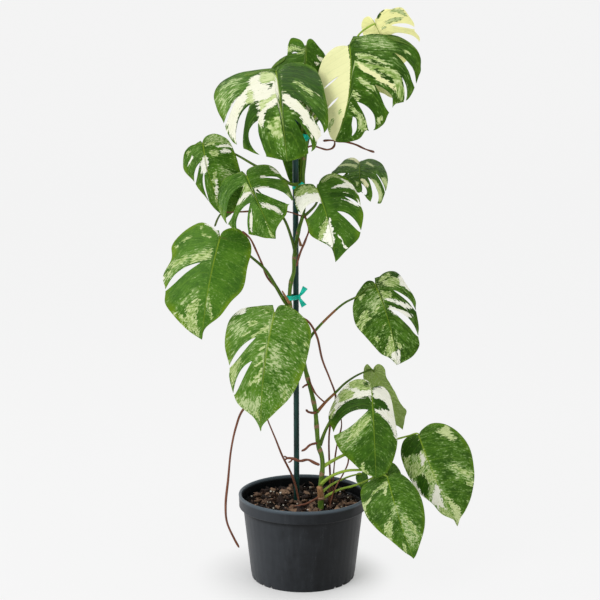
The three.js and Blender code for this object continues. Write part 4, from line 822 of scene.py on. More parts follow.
def limb_finish(name, low, high, scar, roughness, streaks=1.0, gloss=0.5, painted_shade=0.0):
    """Stalks, stem and roots: streaks along the limb, and darker bark where tone says so."""
    bark = Finish(name, roughness, specular=gloss)
    grain = bark.attribute("grain")
    brown, wear_and_shading, _ = bark.parts(bark.attribute("tone"))
    along = bark.stretched(grain, (0.045, 0.55, 0.55))
    streak = bark.noise(along, streaks, 4.0, 0.6, 0.2)
    patch = bark.noise(bark.stretched(grain, (0.05, 0.16, 0.16)), 1.0, 3.0)
    pore = bark.noise(bark.stretched(grain, (1.4, 1.4, 1.4)), 1.0, 3.0)
    # Painted shade: the tone's second part makes stalks lighter or darker by how they face the light
    light = streak * 0.7 + patch * 0.3 - (wear_and_shading - 0.3) * painted_shade
    colour = bark.mix(light.between(0.34, 0.66), low, high)
    bare = (brown + (patch - 0.5) * 0.9 + (pore - 0.5) * 0.3).between(0.40, 0.62)
    colour = bark.mix(bare, colour, bark.ramp(pore, (0.3, scar[0]), (0.7, scar[1])))
    normal = bark.bump(streak * 0.5 + pore * (0.3 + wear_and_shading), 0.0008)
    return bark.wear(colour, bare * 0.3 + roughness + (pore - 0.5) * 0.2, normal)


def pot_finish():
    """Charcoal satin plastic, dusty and scuffed; its left side is painted lighter."""
    plastic = Finish("pot_plastic", 0.42, specular=0.2)
    place = plastic.place()
    x, y, z = plastic.parts(place)
    flute = (y.joined("ARCTAN2", x) * (POT["flutes"] / math.tau)).joined("PINGPONG", 0.5)
    body = 1 - z.between(0.132, 0.140)
    lip = z.between(0.158, 0.164)
    dust = plastic.noise(place, 34.0, 5.0, 0.65)
    grain = plastic.noise(place, 900.0, 2.0)
    scuff = plastic.noise(plastic.stretched(place, (1, 1, 0.12)), 90.0, 4.0, 0.6)
    # Painted light: the left side is lighter, as if lit from the left, broken up by scuffs and dust
    wear_and_shading = (x * -5.5 + scuff * 0.3 + dust * 0.3).between(0.05, 0.9)
    colour = plastic.ramp(dust * 0.6 + scuff * 0.4, (0.30, "0a0c0e"), (0.52, "111417"),
                          (0.72, "1a1d20"))
    colour = plastic.mix(wear_and_shading * 0.8, colour, "3c4045")
    # Painted shade: the inner wall near the rim is darkened.
    inner = (0.0152 - x * x - y * y).between(0, 0.0001) * z.between(0.13, 0.14)
    colour = plastic.mix(inner, colour, "040709")
    # Painted highlight: a light band along the top of the lip.
    colour = plastic.mix(lip * 0.75, colour, "55616a")
    scratch = (scuff * 0.5 + grain * 0.5).between(0.60, 0.66)
    colour = plastic.mix(scratch * 0.25, colour, "55585a")
    normal = plastic.bump(flute * body * 0.25 + grain * 0.06 + scuff * 0.12, 0.0009)
    return plastic.wear(colour, 0.34 + dust * 0.2 - lip * 0.1, normal)


def cane_finish():
    """Dark green plastic sleeve over a cane, with grime in its pits."""
    sleeve = Finish("cane_sleeve", 0.35, specular=0.3)
    place = sleeve.place()
    grime = sleeve.noise(sleeve.stretched(place, (1, 1, 0.25)), 120.0, 4.0, 0.6)
    colour = sleeve.ramp(grime, (0.30, "042521"), (0.52, "0a3832"),
                         (0.75, "1c544b"))
    return sleeve.wear(colour, 0.25 + grime * 0.3, sleeve.bump(grime, 0.0006))


def tie_finish():
    """Turquoise plastic tape with fine lengthwise ribs."""
    tape = Finish("tie_tape", 0.38, specular=0.3)
    place = tape.place()
    _, _, height = tape.parts(place)
    rib = (height * 5200).joined("SINE")
    cloud = tape.noise(place, 90.0, 3.0)
    colour = tape.ramp(cloud, (0.3, "02a08c"), (0.55, "06c8ae"), (0.8, "2fdcc4"))
    return tape.wear(colour, 0.3 + cloud * 0.2, tape.bump(rib * 0.2 + cloud, 0.0004))


def mix_finish(name, dark, mid, light, roughness, scale):
    """Bark, perlite or crumb: each piece has its own shade and a gritty skin."""
    grit = Finish(name, roughness, specular=0.25)
    shade, _, _ = grit.parts(grit.attribute("shade"))
    place = grit.place()
    fibre = grit.noise(place, scale, 4.0, 0.65)
    pit = grit.noise(place, scale * 3.5, 2.0)
    colour = grit.ramp(shade * 0.7 + fibre * 0.6, (0.3, dark), (0.66, mid), (1.0, light))
    return grit.wear(colour, roughness + (pit - 0.5) * 0.1, grit.bump(fibre + pit * 0.4, 0.0007))


LEAF_TOP = leaf_finish("leaf_top", False)
LEAF_UNDER = leaf_finish("leaf_underside", True)
STALK = limb_finish("stalk_green", "446016", "a3c048",
                    ("6a3f22", "a06c48"), 0.42, gloss=0.18, painted_shade=0.5)
STEM = limb_finish("stem_green", "3a5a16", "6c8c32",
                   ("6d5138", "a98a6c"), 0.46, gloss=0.15)
ROOT = limb_finish("root_bark", "5c3627", "94614a",
                   ("472b20", "a47a62"), 0.6, streaks=1.6, gloss=0.2)
WOOD = limb_finish("dry_sheath", "7a5230", "b98d62",
                   ("5a3a24", "d0ac8a"), 0.7, streaks=1.4, gloss=0.2)
POT_PLASTIC = pot_finish()
CANE_SLEEVE = cane_finish()
TIE_TAPE = tie_finish()
BARK = mix_finish("bark_chip", "0d0806", "33221a", "93765f", 0.82, 260.0)
PERLITE = mix_finish("perlite_bead", "8f8878", "d8d3c4", "f4f1e8", 0.7, 420.0)
CRUMB = mix_finish("peat_crumb", "0c0806", "1f150f", "3a2a20", 0.95, 500.0)

# Making a piece


def placed(bm, name, finishes):
    """Turns a bmesh into an object in the scene."""
    mesh = bpy.data.meshes.new(name)
    bm.to_mesh(mesh)
    bm.free()
    for finish in finishes:
        mesh.materials.append(finish)
    mesh.shade_smooth()
    made = bpy.data.objects.new(name, mesh)
    bpy.context.scene.collection.objects.link(made)
    return made


def finished(bm, node, finishes):
    """Scales a bmesh from millimetres to metres and stands it in for one node of the plant."""
    bmesh.ops.scale(bm, vec=(MM, MM, MM), verts=bm.verts)
    piece = placed(bm, node + "_skin", finishes)
    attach(piece, "root")
    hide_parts(node)
    return piece


def smooth_route(corners, steps):
    """Evenly spaced points and side directions along a centripetal curve through the corners."""
    points = [Vector(c) for c in corners]
    points = [points[0] * 2 - points[1], *points, points[-1] * 2 - points[-2]]
    dense = []
    for k in range(1, len(points) - 2):
        p0, p1, p2, p3 = points[k - 1:k + 3]
        d0, d1, d2 = [max((b - a).length, 1e-4) ** 0.5 for a, b in ((p0, p1), (p1, p2), (p2, p3))]
        out = ((p1 - p0) / d0 - (p2 - p0) / (d0 + d1) + (p2 - p1) / d1) * d1
        into = ((p2 - p1) / d1 - (p3 - p1) / (d1 + d2) + (p3 - p2) / d2) * d1
        for step in range(CURVE_STEPS):
            t = step / CURVE_STEPS
            bend = (2 * p1 - 2 * p2 + out + into) * t ** 3
            dense.append(bend + (3 * p2 - 3 * p1 - 2 * out - into) * t * t + out * t + p1)
    dense.append(points[-2])
    lengths = [0.0]
    for a, b in zip(dense, dense[1:]):
        lengths.append(lengths[-1] + (b - a).length)
    spots = []
    k = 0
    for step in range(steps + 1):
        goal = lengths[-1] * step / steps
        while k < len(dense) - 2 and lengths[k + 1] < goal:
            k += 1
        share = (goal - lengths[k]) / max(lengths[k + 1] - lengths[k], 1e-6)
        spots.append(dense[k].lerp(dense[k + 1], min(max(share, 0), 1)))
    frames = []
    side = Vector(FIRST_SIDE)
    for k, spot in enumerate(spots):
        heading = spots[min(k + 1, steps)] - spots[max(k - 1, 0)]
        heading.normalize()
        side = (side - heading * side.dot(heading)).normalized()
        frames.append((spot, side.copy(), heading.cross(side)))
    return frames, lengths[-1]


def add_limb(bm, route, radius_at, tone_at, sides=14, step=3.0, seed=0.0):
    """A closed round limb along a route. radius_at and tone_at read the share along it."""
    length = smooth_route(route, 8)[1]
    steps = max(6, int(length / step))
    frames, length = smooth_route(route, steps)
    grain = bm.verts.layers.float_vector["grain"]
    tone = bm.verts.layers.float_vector["tone"]
    for v, turn, t in rolled_sheet(bm, sides, steps):
        spot, side, up = frames[round(t * steps)]
        x, y = math.cos(turn), math.sin(turn)
        v[grain] = (length * t, x * 4, y * 4 + seed * 37)
        v[tone] = (*tone_at(t), seed)
        v.co = spot + (side * x + up * y) * radius_at(t)
    closed_tube(bm)


def flat_sheet(bm, columns, rows):
    """The vertices of a new grid from -1 to 1 both ways."""
    return bmesh.ops.create_grid(bm, x_segments=columns, y_segments=rows, size=1)["verts"]


def rolled_sheet(bm, sides, steps):
    """Each vertex of a new grid with the turn round the limb and the share along it."""
    return [(v, (v.co.x + 1) * math.pi, (v.co.y + 1) / 2) for v in flat_sheet(bm, sides, steps)]


def closed_tube(bm):
    """Joins the long seam of a rolled sheet and caps its two ends."""
    bmesh.ops.remove_doubles(bm, verts=bm.verts, dist=TUBE_WELD)
    bmesh.ops.holes_fill(bm, edges=[e for e in bm.edges if e.is_boundary], sides=0)
    bmesh.ops.recalc_face_normals(bm, faces=bm.faces)


def drawn_verts(extruded):
    """The vertices that an extrusion has just made."""
    return [made for made in extruded["geom"] if isinstance(made, bmesh.types.BMVert)]


def limb_mesh():
    """An empty bmesh with the values that a limb's finish reads."""
    bm = bmesh.new()
    bm.verts.layers.float_vector.new("grain")
    bm.verts.layers.float_vector.new("tone")
    return bm


def swell(t, place, spread):
    """1 at a place along a limb, fading to 0 on both sides of it."""
    return math.exp(-((t - place) / spread) ** 2)


def taper(radii, t):
    """A radius that goes evenly from the first of two to the second."""
    start, end = radii
    return start + (end - start) * t


def rounded_ends(t, start, end):
    """Pulls a limb's radius in at its ends; start and end are the shares that are rounded."""
    shut = 1.0
    for share, run in ((t, start), (1 - t, end)):
        if run and share < run:
            shut = min(shut, math.sqrt(max(LEAST_END, 1 - (1 - share / run) ** 2)))
    return shut


# Blades: veins run from the midrib to the outline, slits open between them


def half_outline(corners):
    """The corners of a half blade as shares of its length, and how far round each one lies."""
    points = [(0.0, 0.0), *[(x / 100, y / 100) for x, y in corners], (0.0, 1.0)]
    knots = [0.0]
    for a, b in zip(points, points[1:]):
        knots.append(knots[-1] + math.dist(a, b))
    return points, [k / knots[-1] for k in knots]


def outline_point(outline, m):
    """The spot a share m of the way round a half blade, on a smooth curve through its corners."""
    points, knots = outline
    last = len(points) - 1
    k = 0
    while k < last - 1 and knots[k + 1] <= m:
        k += 1
    t = min(max((m - knots[k]) / (knots[k + 1] - knots[k]), 0), 1)
    p1, p2 = points[k], points[k + 1]
    p0 = points[k - 1] if k > 0 else (2 * p1[0] - p2[0], 2 * p1[1] - p2[1])
    p3 = points[k + 2] if k + 2 <= last else (2 * p2[0] - p1[0], 2 * p2[1] - p1[1])
    spot = [0.5 * (2 * b + (c - a) * t + (2 * a - 5 * b + 4 * c - d) * t * t
                   + (3 * b - a - 3 * c + d) * t ** 3) for a, b, c, d in zip(p0, p1, p2, p3)]
    return max(0.0, spot[0]), spot[1]


def vein_point(outline, m, r):
    """The spot a share r of the way along the side vein that meets the outline at m."""
    start = max(0.0, (m - RIB_START) / (1 - RIB_START)) ** RIB_SPREAD
    end = outline_point(outline, m)
    bend = (VEIN_REACH * end[0], start + VEIN_LEAN * (end[1] - start))
    a, b, c = (1 - r) ** 2, 2 * r * (1 - r), r * r
    return b * bend[0] + c * end[0], a * start + b * bend[1] + c * end[1]


def slit_shift(outline, slit, r, way):
    """How far one edge of a slit is moved off the vein that the slit lies on."""
    _, mouth, inner, first, widest, gape, last = slit
    t = min(1, max(0, (r - first) / (last - first)))
    vein = inner + (mouth - inner) * t
    shut = last < 1 and t >= 1
    width = 0 if shut or t <= 0 else gape * t + widest * math.sin(math.pi * t) ** SLIT_ROUNDNESS
    ahead = vein_point(outline, min(vein + VEIN_STEP, 1), r)
    behind = vein_point(outline, max(vein - VEIN_STEP, 0), r)
    size = math.dist(ahead, behind) or 1
    spot = vein_point(outline, vein, r)
    mark = vein_point(outline, mouth, r)
    half = way * max(0, width) / 2 / size
    return [spot[k] + (ahead[k] - behind[k]) * half - mark[k] for k in (0, 1)]


def blade_frame(leaf):
    """A leaf's base, its directions, and how far it arches, how long it is and how it bows."""
    base = Vector(leaf["base"])
    chord = Vector(leaf["tip"]) - base
    along = chord.normalized()
    faces = Vector(leaf["faces"])
    up = (faces - along * faces.dot(along)).normalized()
    arch = math.radians(leaf["arch"])
    length = chord.length * (arch / 2) / math.sin(arch / 2)
    return base, along, up, up.cross(along), arch, length, leaf.get("bow", 0) / 100


def on_leaf(shape, fold, curl, sign, x, y):
    """Where a flat spot of the blade lies once the blade is arched, folded and curled."""
    base, along, up, across, arch, length, bow = shape
    held = min(max(y, ARCHED[0]), ARCHED[1])
    lean = arch * (0.5 - held)
    forward = (math.sin(arch / 2) - math.sin(lean)) / arch + (y - held) * math.cos(lean)
    raised = (math.cos(lean) - math.cos(arch / 2)) / arch + (y - held) * math.sin(lean)
    on_rib = min(max(y, 0), 1)
    sideways = bow * 4 * on_rib * (1 - on_rib)
    bend = curl * 2
    out = (math.sin(fold + bend * x) - math.sin(fold)) / bend
    rise = (math.cos(fold) - math.cos(fold + bend * x)) / bend
    return (base + along * length * (forward - rise * math.sin(lean))
            + up * length * (raised + rise * math.cos(lean))
            + across * length * (sideways + sign * out))


def ripple(m, r, length, seed):
    """The blade puffs a little between its side veins and waves along its edge, in mm."""
    quilt = QUILT_HEIGHT * math.cos(2 * math.pi * SIDE_VEINS * m) * 4 * r * (1 - r)
    wave = sum(height * math.sin(rate * m + shift * seed) * r ** power
               for height, rate, shift, power in EDGE_WAVES)
    return (quilt + wave) * min(1.0, length / FULL_RIPPLE_LENGTH)


def inside(x, y, corners):
    """Signed distance to a closed outline, above zero inside it; sides on the midrib don't count."""
    within = False
    nearest = 1e9
    for (ax, ay), (bx, by) in zip(corners, corners[1:] + corners[:1]):
        if (ay > y) != (by > y) and x < ax + (bx - ax) * (y - ay) / (by - ay):
            within = not within
        if max(abs(ax), abs(bx)) > 1:
            dx, dy = bx - ax, by - ay
            t = min(1, max(0, ((x - ax) * dx + (y - ay) * dy) / (dx * dx + dy * dy or 1)))
            nearest = min(nearest, math.hypot(x - ax - t * dx, y - ay - t * dy))
    return nearest if within else -nearest


def softness(corners):
    """How wide a mark's border fades, in percent: less for a slender mark."""
    ring = list(zip(corners, corners[1:] + corners[:1]))
    area = abs(sum(a[0] * b[1] - b[0] * a[1] for a, b in ring)) / 2
    width = 4 * area / sum(math.dist(a, b) for a, b in ring)
    return min(MARK_SOFTNESS[1], max(MARK_SOFTNESS[0], width))


def tones_at(marks, sign, x, y):
    """Shares of each tone at a spot, every mark painted over those before it."""
    shares = dict(cream=0.0, lime=0.0, mint=0.0, dark=0.0, marble=0.0)
    for tone, corners, soft in marks:
        if all(corner[0] * sign <= 1 for corner in corners):
            continue
        x_inside = sign * max(x * 100, 0.4)
        share = min(1, max(0, 0.5 + inside(x_inside, y * 100, corners) / soft))
        if tone != "marble":
            for other in ("cream", "lime", "mint", "dark"):
                shares[other] = min(shares[other], 1 - share)
        shares[tone] = max(shares[tone], share)
    return shares


def blade(leaf, number):
    """One leaf blade with its slits, quilted between the side veins and wavy at the edge."""
    shape = blade_frame(leaf)
    length = shape[5]
    fold = [math.radians(a) for a in leaf.get("fold", (-6, -6))]
    curl = [math.radians(a) for a in leaf.get("curl", (-25, -25))]
    slits = [(side, *[v / 100 for v in rest], *([1.0] if len(rest) == 5 else []))
             for side, *rest in leaf.get("slits", [])]
    marks = [(tone, corners, softness(corners)) for tone, corners in MARKS.get(leaf["name"], [])]
    look = leaf["look"]
    bm = bmesh.new()
    flat_layer, vein_layer, mark_layer, tone_layer = [
        bm.verts.layers.float_vector.new(name) for name in ("flat", "vein", "marks", "tone")]
    for half, side in enumerate(("left", "right")):
        outline = half_outline(leaf[side])
        sign = 1 if half else -1
        cuts = sorted([s for s in slits if s[0] == side], key=lambda s: s[1])
        bounds = [None, *cuts, None]
        needed = sorted({0.0, 1.0, *[c[3] for c in cuts], *[c[6] for c in cuts]})
        rows = sorted({*needed, *[k / ROWS for k in range(ROWS)
                                  if all(abs(k / ROWS - n) > 0.4 / ROWS for n in needed)]})
        for first, last in zip(bounds, bounds[1:]):
            start = first[1] if first else 0.0
            end = last[1] if last else 1.0
            columns = max(3, round(STATIONS * (end - start)))
            sheet = flat_sheet(bm, columns, len(rows) - 1)
            for v in sheet:
                share = (v.co.x + 1) / 2
                r = rows[round((v.co.y + 1) / 2 * (len(rows) - 1))]
                m = start + (end - start) * share
                x, y = vein_point(outline, m, r)
                for slit, way, weight in ((first, 1, 1 - share), (last, -1, share)):
                    if slit and r > 0:
                        dx, dy = slit_shift(outline, slit, r, way)
                        x += dx * weight
                        y += dy * weight
                x = max(0.0, x)
                v[flat_layer] = (sign * x, y, number * PATTERN_STEP)
                shares = tones_at(marks, sign, x, y)
                v[vein_layer] = (m, sign * r, shares["lime"])
                v[mark_layer] = (shares["cream"], shares["mint"] + shares["lime"], shares["dark"])
                marbled = look[0] + MARBLE_STRENGTH * shares["marble"]
                v[tone_layer] = (marbled, look[1], look[2])
                v.co = on_leaf(shape, fold[half], curl[half], sign, x, y)
                v.co += shape[2] * ripple(m, r, length, number)
            if sign < 0:
                faces = list({f for v in sheet for f in v.link_faces})
                bmesh.ops.reverse_faces(bm, faces=faces)
    bmesh.ops.remove_doubles(bm, verts=bm.verts, dist=BLADE_WELD)
    bm.normal_update()
    if sum(f.normal.dot(shape[2]) * f.calc_area() for f in bm.faces) < 0:
        bmesh.ops.reverse_faces(bm, faces=bm.faces)
    for edge in bm.edges:
        edge.smooth = not edge.is_boundary
    piece = finished(bm, leaf["name"] + "_blade", [LEAF_TOP, LEAF_UNDER])
    wall = piece.modifiers.new("thickness", "SOLIDIFY")
    wall.thickness = BLADE_THICKNESS * MM
    wall.offset = 0
    wall.material_offset = 1
    return piece


def stalk(leaf, number):
    """A leaf stalk: thick and sheathed at the stem, with a knee under the blade."""
    form = STALK_FORM
    base, along, up, _, arch, _, _ = blade_frame(leaf)
    lean, behind = math.sin(arch / 2), math.cos(arch / 2)
    seat = (base + along * (form["seat_along"] * behind + form["seat_behind"] * lean)
            + up * (form["seat_along"] * lean - form["seat_behind"] * behind))

    def radius(t):
        knee = form["knee"] * swell(t, form["knee_at"], form["knee_spread"])
        sheath = form["sheath"] * math.exp(-t / form["sheath_run"])
        return taper((leaf["radius"], form["tip_radius"]), t) + knee + sheath

    def tone(t):
        start, end = leaf.get("blush", (2, 3))
        blush = STALK_TONE["blush"] if start < t < end else 0
        foot = STALK_TONE["foot"] * math.exp(-t / STALK_TONE["foot_run"])
        # The second part is painted shade, lighter for the stalks that face up into the light
        return max(blush, foot), STALK_TONE["pale" if number in STALKS_PAINTED_LIT else "plain"]

    bm = limb_mesh()
    add_limb(bm, [*leaf["stalk"], tuple(seat)], radius, tone, seed=number)
    return finished(bm, leaf["name"] + "_petiole", [STALK])


def root(kind, number):
    """An aerial root with slight knots and a rounded tip."""
    form = ROOT_FORM
    chance = random.Random(number)
    waves = [[chance.uniform(*form[key]) for key in ("knot_rate", "knot_shift", "knot_size")]
             for _ in range(form["knots"])]

    def radius(t):
        knots = 1 + sum(size * math.sin(rate * t + shift) for rate, shift, size in waves)
        return taper(kind["radii"], t) * knots * rounded_ends(t, form["end"], form["end"])

    def tip_radius(t):
        thick = form["tip_radius"] - form["tip_taper"] * t
        return thick * rounded_ends(t, form["tip_end"], form["tip_end"])

    bm = limb_mesh()
    add_limb(bm, kind["route"], radius, lambda t: (0.3, 0.8), form["sides"], form["step"], number)
    green_from = kind.get("green_from")
    if green_from:
        grain = bm.verts.layers.float_vector["grain"]
        for face in bm.faces:
            if min(v[grain].x for v in face.verts) > green_from:
                face.material_index = 1
    for tip in kind.get("tips", []):
        add_limb(bm, tip, tip_radius, lambda t: (0.5, 0.8), form["sides"], form["tip_step"],
                 number + 0.5)
    return finished(bm, kind["name"], [ROOT, STALK] if green_from else [ROOT])


def climbing_stem():
    """The stem with a swollen ringed joint at each leaf, a cut stub at its foot and dry sheaths."""
    joints = VINE["joints"]

    def radius(t):
        beat = abs(math.sin(math.pi * joints * t)) ** VINE["swelling_sharpness"]
        bulge = VINE["bulge"] * swell(t, VINE["bulge_at"], VINE["bulge_spread"])
        ring = VINE["ring"] * swell(joints * t % 1, VINE["ring_at"], VINE["ring_spread"])
        swollen = (taper(VINE["radii"], t) + bulge) * (1 + VINE["swelling"] * beat + ring)
        return swollen * rounded_ends(t, 0, VINE["top_end"])

    def tone(t):
        return 0.12 + 0.42 * swell(joints * t % 1, 0.5, 0.10) + 0.25 * (1 - t) ** 3, 0.5

    bm = limb_mesh()
    add_limb(bm, VINE_ROUTE, radius, tone, VINE["sides"], VINE["step"], seed=3)
    grown = set(bm.faces)
    for number, scrap in enumerate(SCRAPS):
        add_limb(bm, scrap["route"],
                 lambda t: taper(scrap["radii"], t) * rounded_ends(t, *scrap["ends"]),
                 lambda t: (scrap["bark"], 0.9), step=VINE["scrap_step"], seed=number)
    for face in set(bm.faces) - grown:
        face.material_index = 1
    return finished(bm, "stem", [STEM, WOOD])


def garden_cane():
    """A straight sleeved cane with shallow rings of nubs and a domed head."""
    bm = bmesh.new()
    foot, head = Vector(CANE["foot"]), Vector(CANE["head"])
    length = (head - foot).length
    for v, turn, t in rolled_sheet(bm, CANE["sides"], CANE["rows"]):
        into_dome = max(0, (t * length - (length - CANE["dome"])) / CANE["dome_reach"])
        dome = math.sqrt(max(0.03, 1 - into_dome ** 2))
        beat = max(0, math.cos(2 * math.pi * t * length / CANE["nub_step"]))
        ring = CANE["nub_height"] * beat ** CANE["nub_sharpness"]
        radius = (CANE["radius"] - 0.1 + ring) * dome
        v.co = foot.lerp(head, t) + Vector((math.cos(turn), math.sin(turn), 0)) * radius
    closed_tube(bm)
    return finished(bm, "cane", [CANE_SLEEVE])


# Ties of plastic tape; a tail is a route from its knot

TIE = dict(inner=5.95, thick=0.9, depth=8.46, columns=96, rows=8, crease=0.35, sag=0.6)
TAIL = dict(half_width=1.8, flare=3.8, columns=12, rows=6, curl=0.8, wave=0.3)
KNOT = dict(size=(4.0, 3.2, 4.0), trim=0.96)
TIES = [
    dict(name="tie_lower", height=549, vine=(-25, -8), knot=(-8, 4),
         tails=[[(0, 0, 1), (6, -3, 9), (12, -4, 19)], [(0, 0, -1), (5, -3, -9), (10, -4, -17)]]),
    dict(name="tie_middle", height=757, vine=(0, 4), knot=(-15, 2),
         tails=[[(0, 0, 1), (10, -5, 4), (17, -6, 8)]]),
    dict(name="tie_upper", height=852, vine=(7, 7), knot=(2, -1),
         tails=[[(0, 0, -1), (3, -4, -9)]]),
]


def tape_tie(tie, number):
    """A loop round cane and stem, a knot, and flared tails of the same tape."""
    rise = (tie["height"] - CANE["foot"][2]) / (CANE["head"][2] - CANE["foot"][2])
    cane = Vector(CANE["foot"]).lerp(Vector(CANE["head"]), rise).to_2d()
    vine = Vector(tie["vine"])
    heading = (vine - cane).normalized()
    side = Vector((-heading.y, heading.x))
    reach = TIE["inner"] + TIE["thick"] / 2
    gap = (vine - cane).length
    half_turn = math.pi * reach
    around = 2 * (gap + half_turn)

    def loop(share):
        """The spot a share of the way round: along one side, round the stem, back, round the cane."""
        run = share * around
        if run < gap:
            return cane + heading * run - side * reach
        run -= gap
        if run < half_turn:
            turn = run / reach
            return vine + (heading * math.sin(turn) - side * math.cos(turn)) * reach
        run -= half_turn
        if run < gap:
            return vine - heading * run + side * reach
        turn = (run - gap) / reach
        return cane + (side * math.cos(turn) - heading * math.sin(turn)) * reach

    bm = bmesh.new()
    for v in flat_sheet(bm, TIE["columns"], TIE["rows"]):
        share, up = (v.co.x + 1) / 2, v.co.y
        crease = TIE["crease"] * math.sin(40 * share * math.pi + 2 * up) * up
        sag = TIE["sag"] * math.sin(2 * math.pi * share + number)
        v.co = Vector((*loop(share), tie["height"] + up * TIE["depth"] / 2 + sag + crease))
    knot = Vector((*tie["knot"], tie["height"]))
    for tail in tie["tails"]:
        frames, _ = smooth_route([knot + Vector(t) for t in tail], TAIL["columns"])
        flat = Vector((0.83, 0.1, -0.53 if tail[-1][2] > 0 else 0.5)).normalized()
        for v in flat_sheet(bm, TAIL["columns"], TAIL["rows"]):
            t, out = (v.co.x + 1) / 2, v.co.y
            spot, _, _ = frames[round(t * TAIL["columns"])]
            v.co = spot + flat * out * (TAIL["half_width"] + TAIL["flare"] * t)
            v.co.y += TAIL["wave"] * math.sin(9 * t) - TAIL["curl"] * out * out
    bmesh.ops.remove_doubles(bm, verts=bm.verts, dist=BAND_WELD)
    bmesh.ops.recalc_face_normals(bm, faces=bm.faces)
    bmesh.ops.solidify(bm, geom=bm.faces, thickness=TIE["thick"])
    size = Vector(KNOT["size"])
    for v in bmesh.ops.create_icosphere(bm, subdivisions=3, radius=1)["verts"]:
        fold = 1 + 0.16 * math.sin(6 * v.co.z + 3 * v.co.x) + 0.08 * math.sin(11 * v.co.x)
        v.co = knot + v.co * size * fold * KNOT["trim"]
    return finished(bm, tie["name"], [TIE_TAPE])


# Pot and potting mix


def nursery_pot():
    """A turned pot with a deep rolled collar, a thick lip and slots under its foot.

    Its outline runs from the middle of the underside up the outside, over the lip and down the
    inside to the middle of the floor.
    """
    height, wall = POT["height"], POT["wall"]
    foot, shoulder, rim = POT["base_radius"], POT["shoulder_radius"], POT["rim_radius"]
    under = height - POT["rim_depth"]
    lift = 4.6
    inner_floor = POT["floor"] + 5
    profile = [
        (0, lift), (foot - 5, lift), (foot - 3.4, 0.4), (foot - 3, 0), (foot - 1.2, 0),
        (foot - 0.1, 1.1), (foot + 2, 14), (shoulder - 0.4, under - 6), (shoulder, under - 2.4),
        (rim - 3.4, under - 0.6), (rim - 1.7, under), (rim - 1.0, under + 1.4),
        (rim - 1.3, under + 4), (rim - 0.5, height - 5), (rim - 0.1, height - 2.6),
        (rim - 0.9, height - 0.7), (rim - 2.4, height),
        (rim - 4.2, height - 0.4), (rim - 5.6, height - 1.8), (rim - 6.5, height - 5),
        (shoulder - wall + 4.5, under + 2), (shoulder - wall, under - 5), (foot - wall, 6),
        (foot - wall - 3, inner_floor), (0, inner_floor),
    ]
    bm = bmesh.new()
    corners = [bm.verts.new((r, 0, z)) for r, z in profile]
    for a, b in zip(corners, corners[1:]):
        bm.edges.new((a, b))
    bmesh.ops.bevel(bm, geom=corners[3:-2], offset=0.5, segments=2, affect="VERTICES",
                    profile=0.5, material=-1)
    bmesh.ops.spin(bm, geom=bm.verts[:] + bm.edges[:], axis=(0, 0, 1), cent=(0, 0, 0),
                   angle=2 * math.pi, steps=POT["sides"], use_merge=True)
    bmesh.ops.remove_doubles(bm, verts=bm.verts, dist=BAND_WELD)
    for v in bm.verts:
        turn = abs(math.degrees(math.atan2(v.co.x, -v.co.y)))
        in_slot = any(abs(turn - slot) <= POT["slot_width"] / 2 for slot in POT["slots"])
        if v.co.z < POT["foot_ring"] and in_slot:
            v.co.z += POT["slot_height"]
    bmesh.ops.recalc_face_normals(bm, faces=bm.faces)
    return finished(bm, "pot", [POT_PLASTIC])


def surface_height(x, y):
    """The top of the mix, gently uneven."""
    wave = math.sin(x * 0.19 + 1.3) * math.cos(y * 0.23 - 0.4)
    wave += 0.6 * math.sin(x * 0.41 - y * 0.37 + 2.1)
    return MIX["top"] + MIX["bump"] * wave


